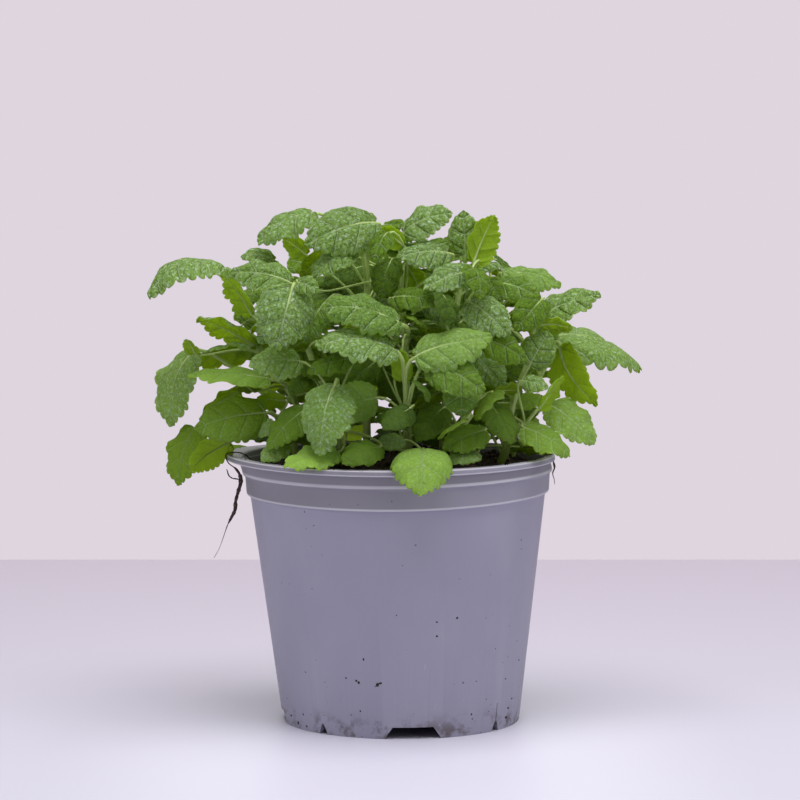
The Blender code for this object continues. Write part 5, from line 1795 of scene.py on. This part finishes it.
def quilt_of(leaf, tone):
    """How strongly the blade is quilted: most on old leaves at the top, least on young or low ones."""
    if getattr(leaf.source, "base", None) == FRONT_LEAF:
        return FRONT_LEAF_QUILT
    low = max(0.0, 1 - (leaf.blade.spot(0.5, 0).z / MM - 118) / 45)
    return max(0.25, (1.0 - 0.5 * max(0.0, tone)) * (1 - 0.6 * min(1.0, low)))


# %% [markdown]
# ## Shoots
#
# A shoot's stem is square, as in all the mint family, and thinner towards its top. Its leaf
# stalks are round, rise out of the stem and run on under the blade as its midrib. Curves with
# a section and a radius at each point draw both in a few lines, and their meshes are then
# added to the blades, so each shoot is one piece as its solid is.

# %% Stems, stalks and midribs
def section_curve():
    """The stem's section: a square with hollow sides."""
    curve = bpy.data.curves.new("stem_section", "CURVE")
    ring = curve.splines.new("POLY")
    ring.points.add(15)
    ring.use_cyclic_u = True
    for i, place in enumerate(ring.points):
        turn = -2 * math.pi * i / 16
        reach = 1.0 - 0.20 * abs(math.sin(2 * turn)) ** 0.8
        place.co = (math.cos(turn) * reach, math.sin(turn) * reach, 0, 1)
    made = bpy.data.objects.new("stem_section", curve)
    scene.collection.objects.link(made)
    return made


def tubes(lines, section=None, roundness=1):
    """One mesh of closed tubes, each a list of (point, radius)."""
    curve = bpy.data.curves.new("tubes", "CURVE")
    curve.dimensions = "3D"
    curve.use_fill_caps = True
    curve.bevel_depth = 1.0
    curve.bevel_resolution = roundness
    if section:
        curve.bevel_mode = "OBJECT"
        curve.bevel_object = section
    for line in lines:
        spline = curve.splines.new("POLY")
        spline.points.add(len(line) - 1)
        for place, (point, radius) in zip(spline.points, line):
            place.co = (*point, 1.0)
            place.radius = radius
    return evaluated_mesh(bpy.data.objects.new("tubes", curve))


def stem_tube(shoot):
    """The stem, swollen a little at each leaf joint."""
    line = [(stem_point(shoot, 0) - Vector((0, 0, STEM_DEPTH)), STEM_FOOT_RADIUS)]
    for i in range(15):
        share = i / 14
        radius = STEM_FOOT_RADIUS + (STEM_TOP_RADIUS - STEM_FOOT_RADIUS) * share
        swell = 1 + 0.16 * math.exp(-(((share * 6) % 1 - 0.5) / 0.14) ** 2)
        line.append((stem_point(shoot, share), radius * swell))
    return line


def stalk_tube(leaf):
    """The stalk, then the midrib under the blade."""
    blade = leaf.blade
    thick = STALK_RADIUS * min(1.12, max(0.62, blade.length / (28 * MM)))
    path = sample(leaf.stalk, 9)[:-1]
    line = [(point, thick * (1.12 - 0.16 * i / len(path))) for i, point in enumerate(path)]
    under = -BLADE_THICKNESS / 2 - FINE_THICKNESS / 2
    for share in (0.0, 0.05, 0.12, 0.22, 0.36, 0.52, 0.70, 0.86):
        radius = thick * (0.86 * (1 - share) ** 1.3 + 0.12)
        line.append((blade.spot(share, 0.0, under - 0.2 * radius), radius))
    return line


def sheet_for(leaf, big):
    """Big leaves that were read off the plant get the finest sheet, and filling ones the plainest."""
    if leaf.source == "fill":
        return sheets["plain"]
    return sheets["fine" if big and isinstance(leaf.source, Leaf) else "middle"]


section = section_curve()
tone_draw = random.Random(31)
for name, shoot in SHOOTS.items():
    body = bmesh.new()
    for leaf in placed[name]:
        big = leaf.blade.length > 19 * MM or leaf.blade.width > 17 * MM
        tone = tone_of(leaf, tone_draw)
        side_veins = 6 if big else 5
        mesh = fine_blade(leaf, sheet_for(leaf, big), side_veins, quilt_of(leaf, tone), tone, tone_draw)
        body.from_mesh(mesh)
        bpy.data.meshes.remove(mesh)
    stalks = [stalk_tube(leaf) for leaf in placed[name]]
    for mesh in (tubes([stem_tube(shoot)], section), tubes(stalks)):
        before = len(body.faces)
        body.from_mesh(mesh)
        bpy.data.meshes.remove(mesh)
        body.faces.ensure_lookup_table()
        for face in body.faces[before:]:
            face.material_index = 2
            face.smooth = True
    bmesh.ops.remove_doubles(body, verts=body.verts[:], dist=0.0005 * MM)
    finishes = [leaf_upper, leaf_under, stem_finish]
    piece(name + "_fine", body, finishes, [name], sharp=75)
bpy.data.objects.remove(section)

# %% [markdown]
# ## Dead root
#
# One thin dead root hangs over the lip at the left, knobbly where it is thick and fraying to a
# pale hair. It is a curve whose radius wanders, with a short side branch. A last bit of root
# shows under the lip at the right.

# %% Lines of the dead root
# Each line is read as (x, z) of its joints in millimetres, and each joint has its own radius
ROOT_LINE = (
    (-56.5, 105.2), (-60.0, 106.4), (-63.0, 109.0), (-67.0, 109.8), (-70.4, 108.9), (-69.5, 105.6),
    (-66.6, 103.2), (-64.9, 100.5), (-64.6, 97.5), (-65.7, 93.5), (-66.6, 90), (-66.9, 86.5),
    (-68.6, 83), (-70.0, 80.2), (-71.3, 76.5), (-73.3, 71), (-75.5, 67),
)
ROOT_RADII = (
    0.30, 0.30, 0.26, 0.24, 0.24, 0.24, 0.35, 0.72, 0.88, 0.80, 0.72, 0.82, 0.52, 0.20, 0.15, 0.13, 0.11,
)
BRANCH_LINE = ((-70.2, 103.0), (-69.4, 100.6), (-68.2, 99.4), (-66.6, 99.1), (-64.9, 98.7))
BRANCH_RADII = (0.16, 0.30, 0.22, 0.30, 0.30)
LIP_BIT_LINE = ((61.2, 106.5), (61.8, 103.8), (61.1, 101.2), (61.7, 98.9), (61.9, 96.9))
LIP_BIT_RADII = (0.35, 0.40, 0.22, 0.16, 0.09)
ROOT_DEPTH = -12


def root_point(line, share):
    """A point on a smooth curve through the line's joints."""
    along = share * (len(line) - 1)
    i = min(len(line) - 2, int(along))
    t = along - i
    joints = [line[min(len(line) - 1, max(0, k))] for k in (i - 1, i, i + 1, i + 2)]
    before, start, end, after = (Vector((x, ROOT_DEPTH, z)) for x, z in joints)
    curve = start * 2 + (end - before) * t
    curve += (before * 2 - start * 5 + end * 4 - after) * t**2
    curve += (start * 3 - before - end * 3 + after) * t**3
    return curve * 0.5 * MM


def root_tube(line, radii, joints):
    """A knobbly tube along the line, as this many points with their radii."""
    made = []
    for i in range(joints):
        share = i / (joints - 1)
        point = root_point(line, share)
        knob = 1 + 0.45 * noise.noise(point * 520) + 0.35 * noise.noise(point * 1500)
        aside = Vector((0, 1, 0)) * 0.4 * MM * math.sin(share * 17)
        along = share * (len(radii) - 1)
        before = min(len(radii) - 2, int(along))
        radius = radii[before] + (radii[before + 1] - radii[before]) * (along - before)
        made.append((point + aside, radius * MM * knob))
    return made


root_lines = [
    root_tube(ROOT_LINE, ROOT_RADII, joints=96),
    root_tube(BRANCH_LINE, BRANCH_RADII, joints=18),
    root_tube(LIP_BIT_LINE, LIP_BIT_RADII, joints=24),
]
root_body = bmesh.new()
root_body.from_mesh(tubes(root_lines, roundness=2))

# %% Finish of the dead root
ROOT_DARK = (0.018, 0.011, 0.008)
ROOT_BROWN = (0.085, 0.048, 0.030)
ROOT_HAIR = (0.36, 0.28, 0.25)

root_finish = Finish("dead_root", Roughness=0.85)
root_place = root_finish.place()
root_z = root_finish.axes(root_place)[2]
root_grain = root_finish.grain(root_place, 900.0, 3.0)
root_colour = root_finish.mix(ROOT_DARK, ROOT_BROWN, root_grain.fade(0.4, 0.7))
root_colour = root_finish.mix(root_colour, ROOT_HAIR, root_z.ease(0.069, 0.081))
root_finish.feed("Base Color", root_colour)
root_finish.relief(root_grain, 0.2 * MM)
piece("hanging_root_fine", root_body, [root_finish], ["hanging_root"], sharp=60)
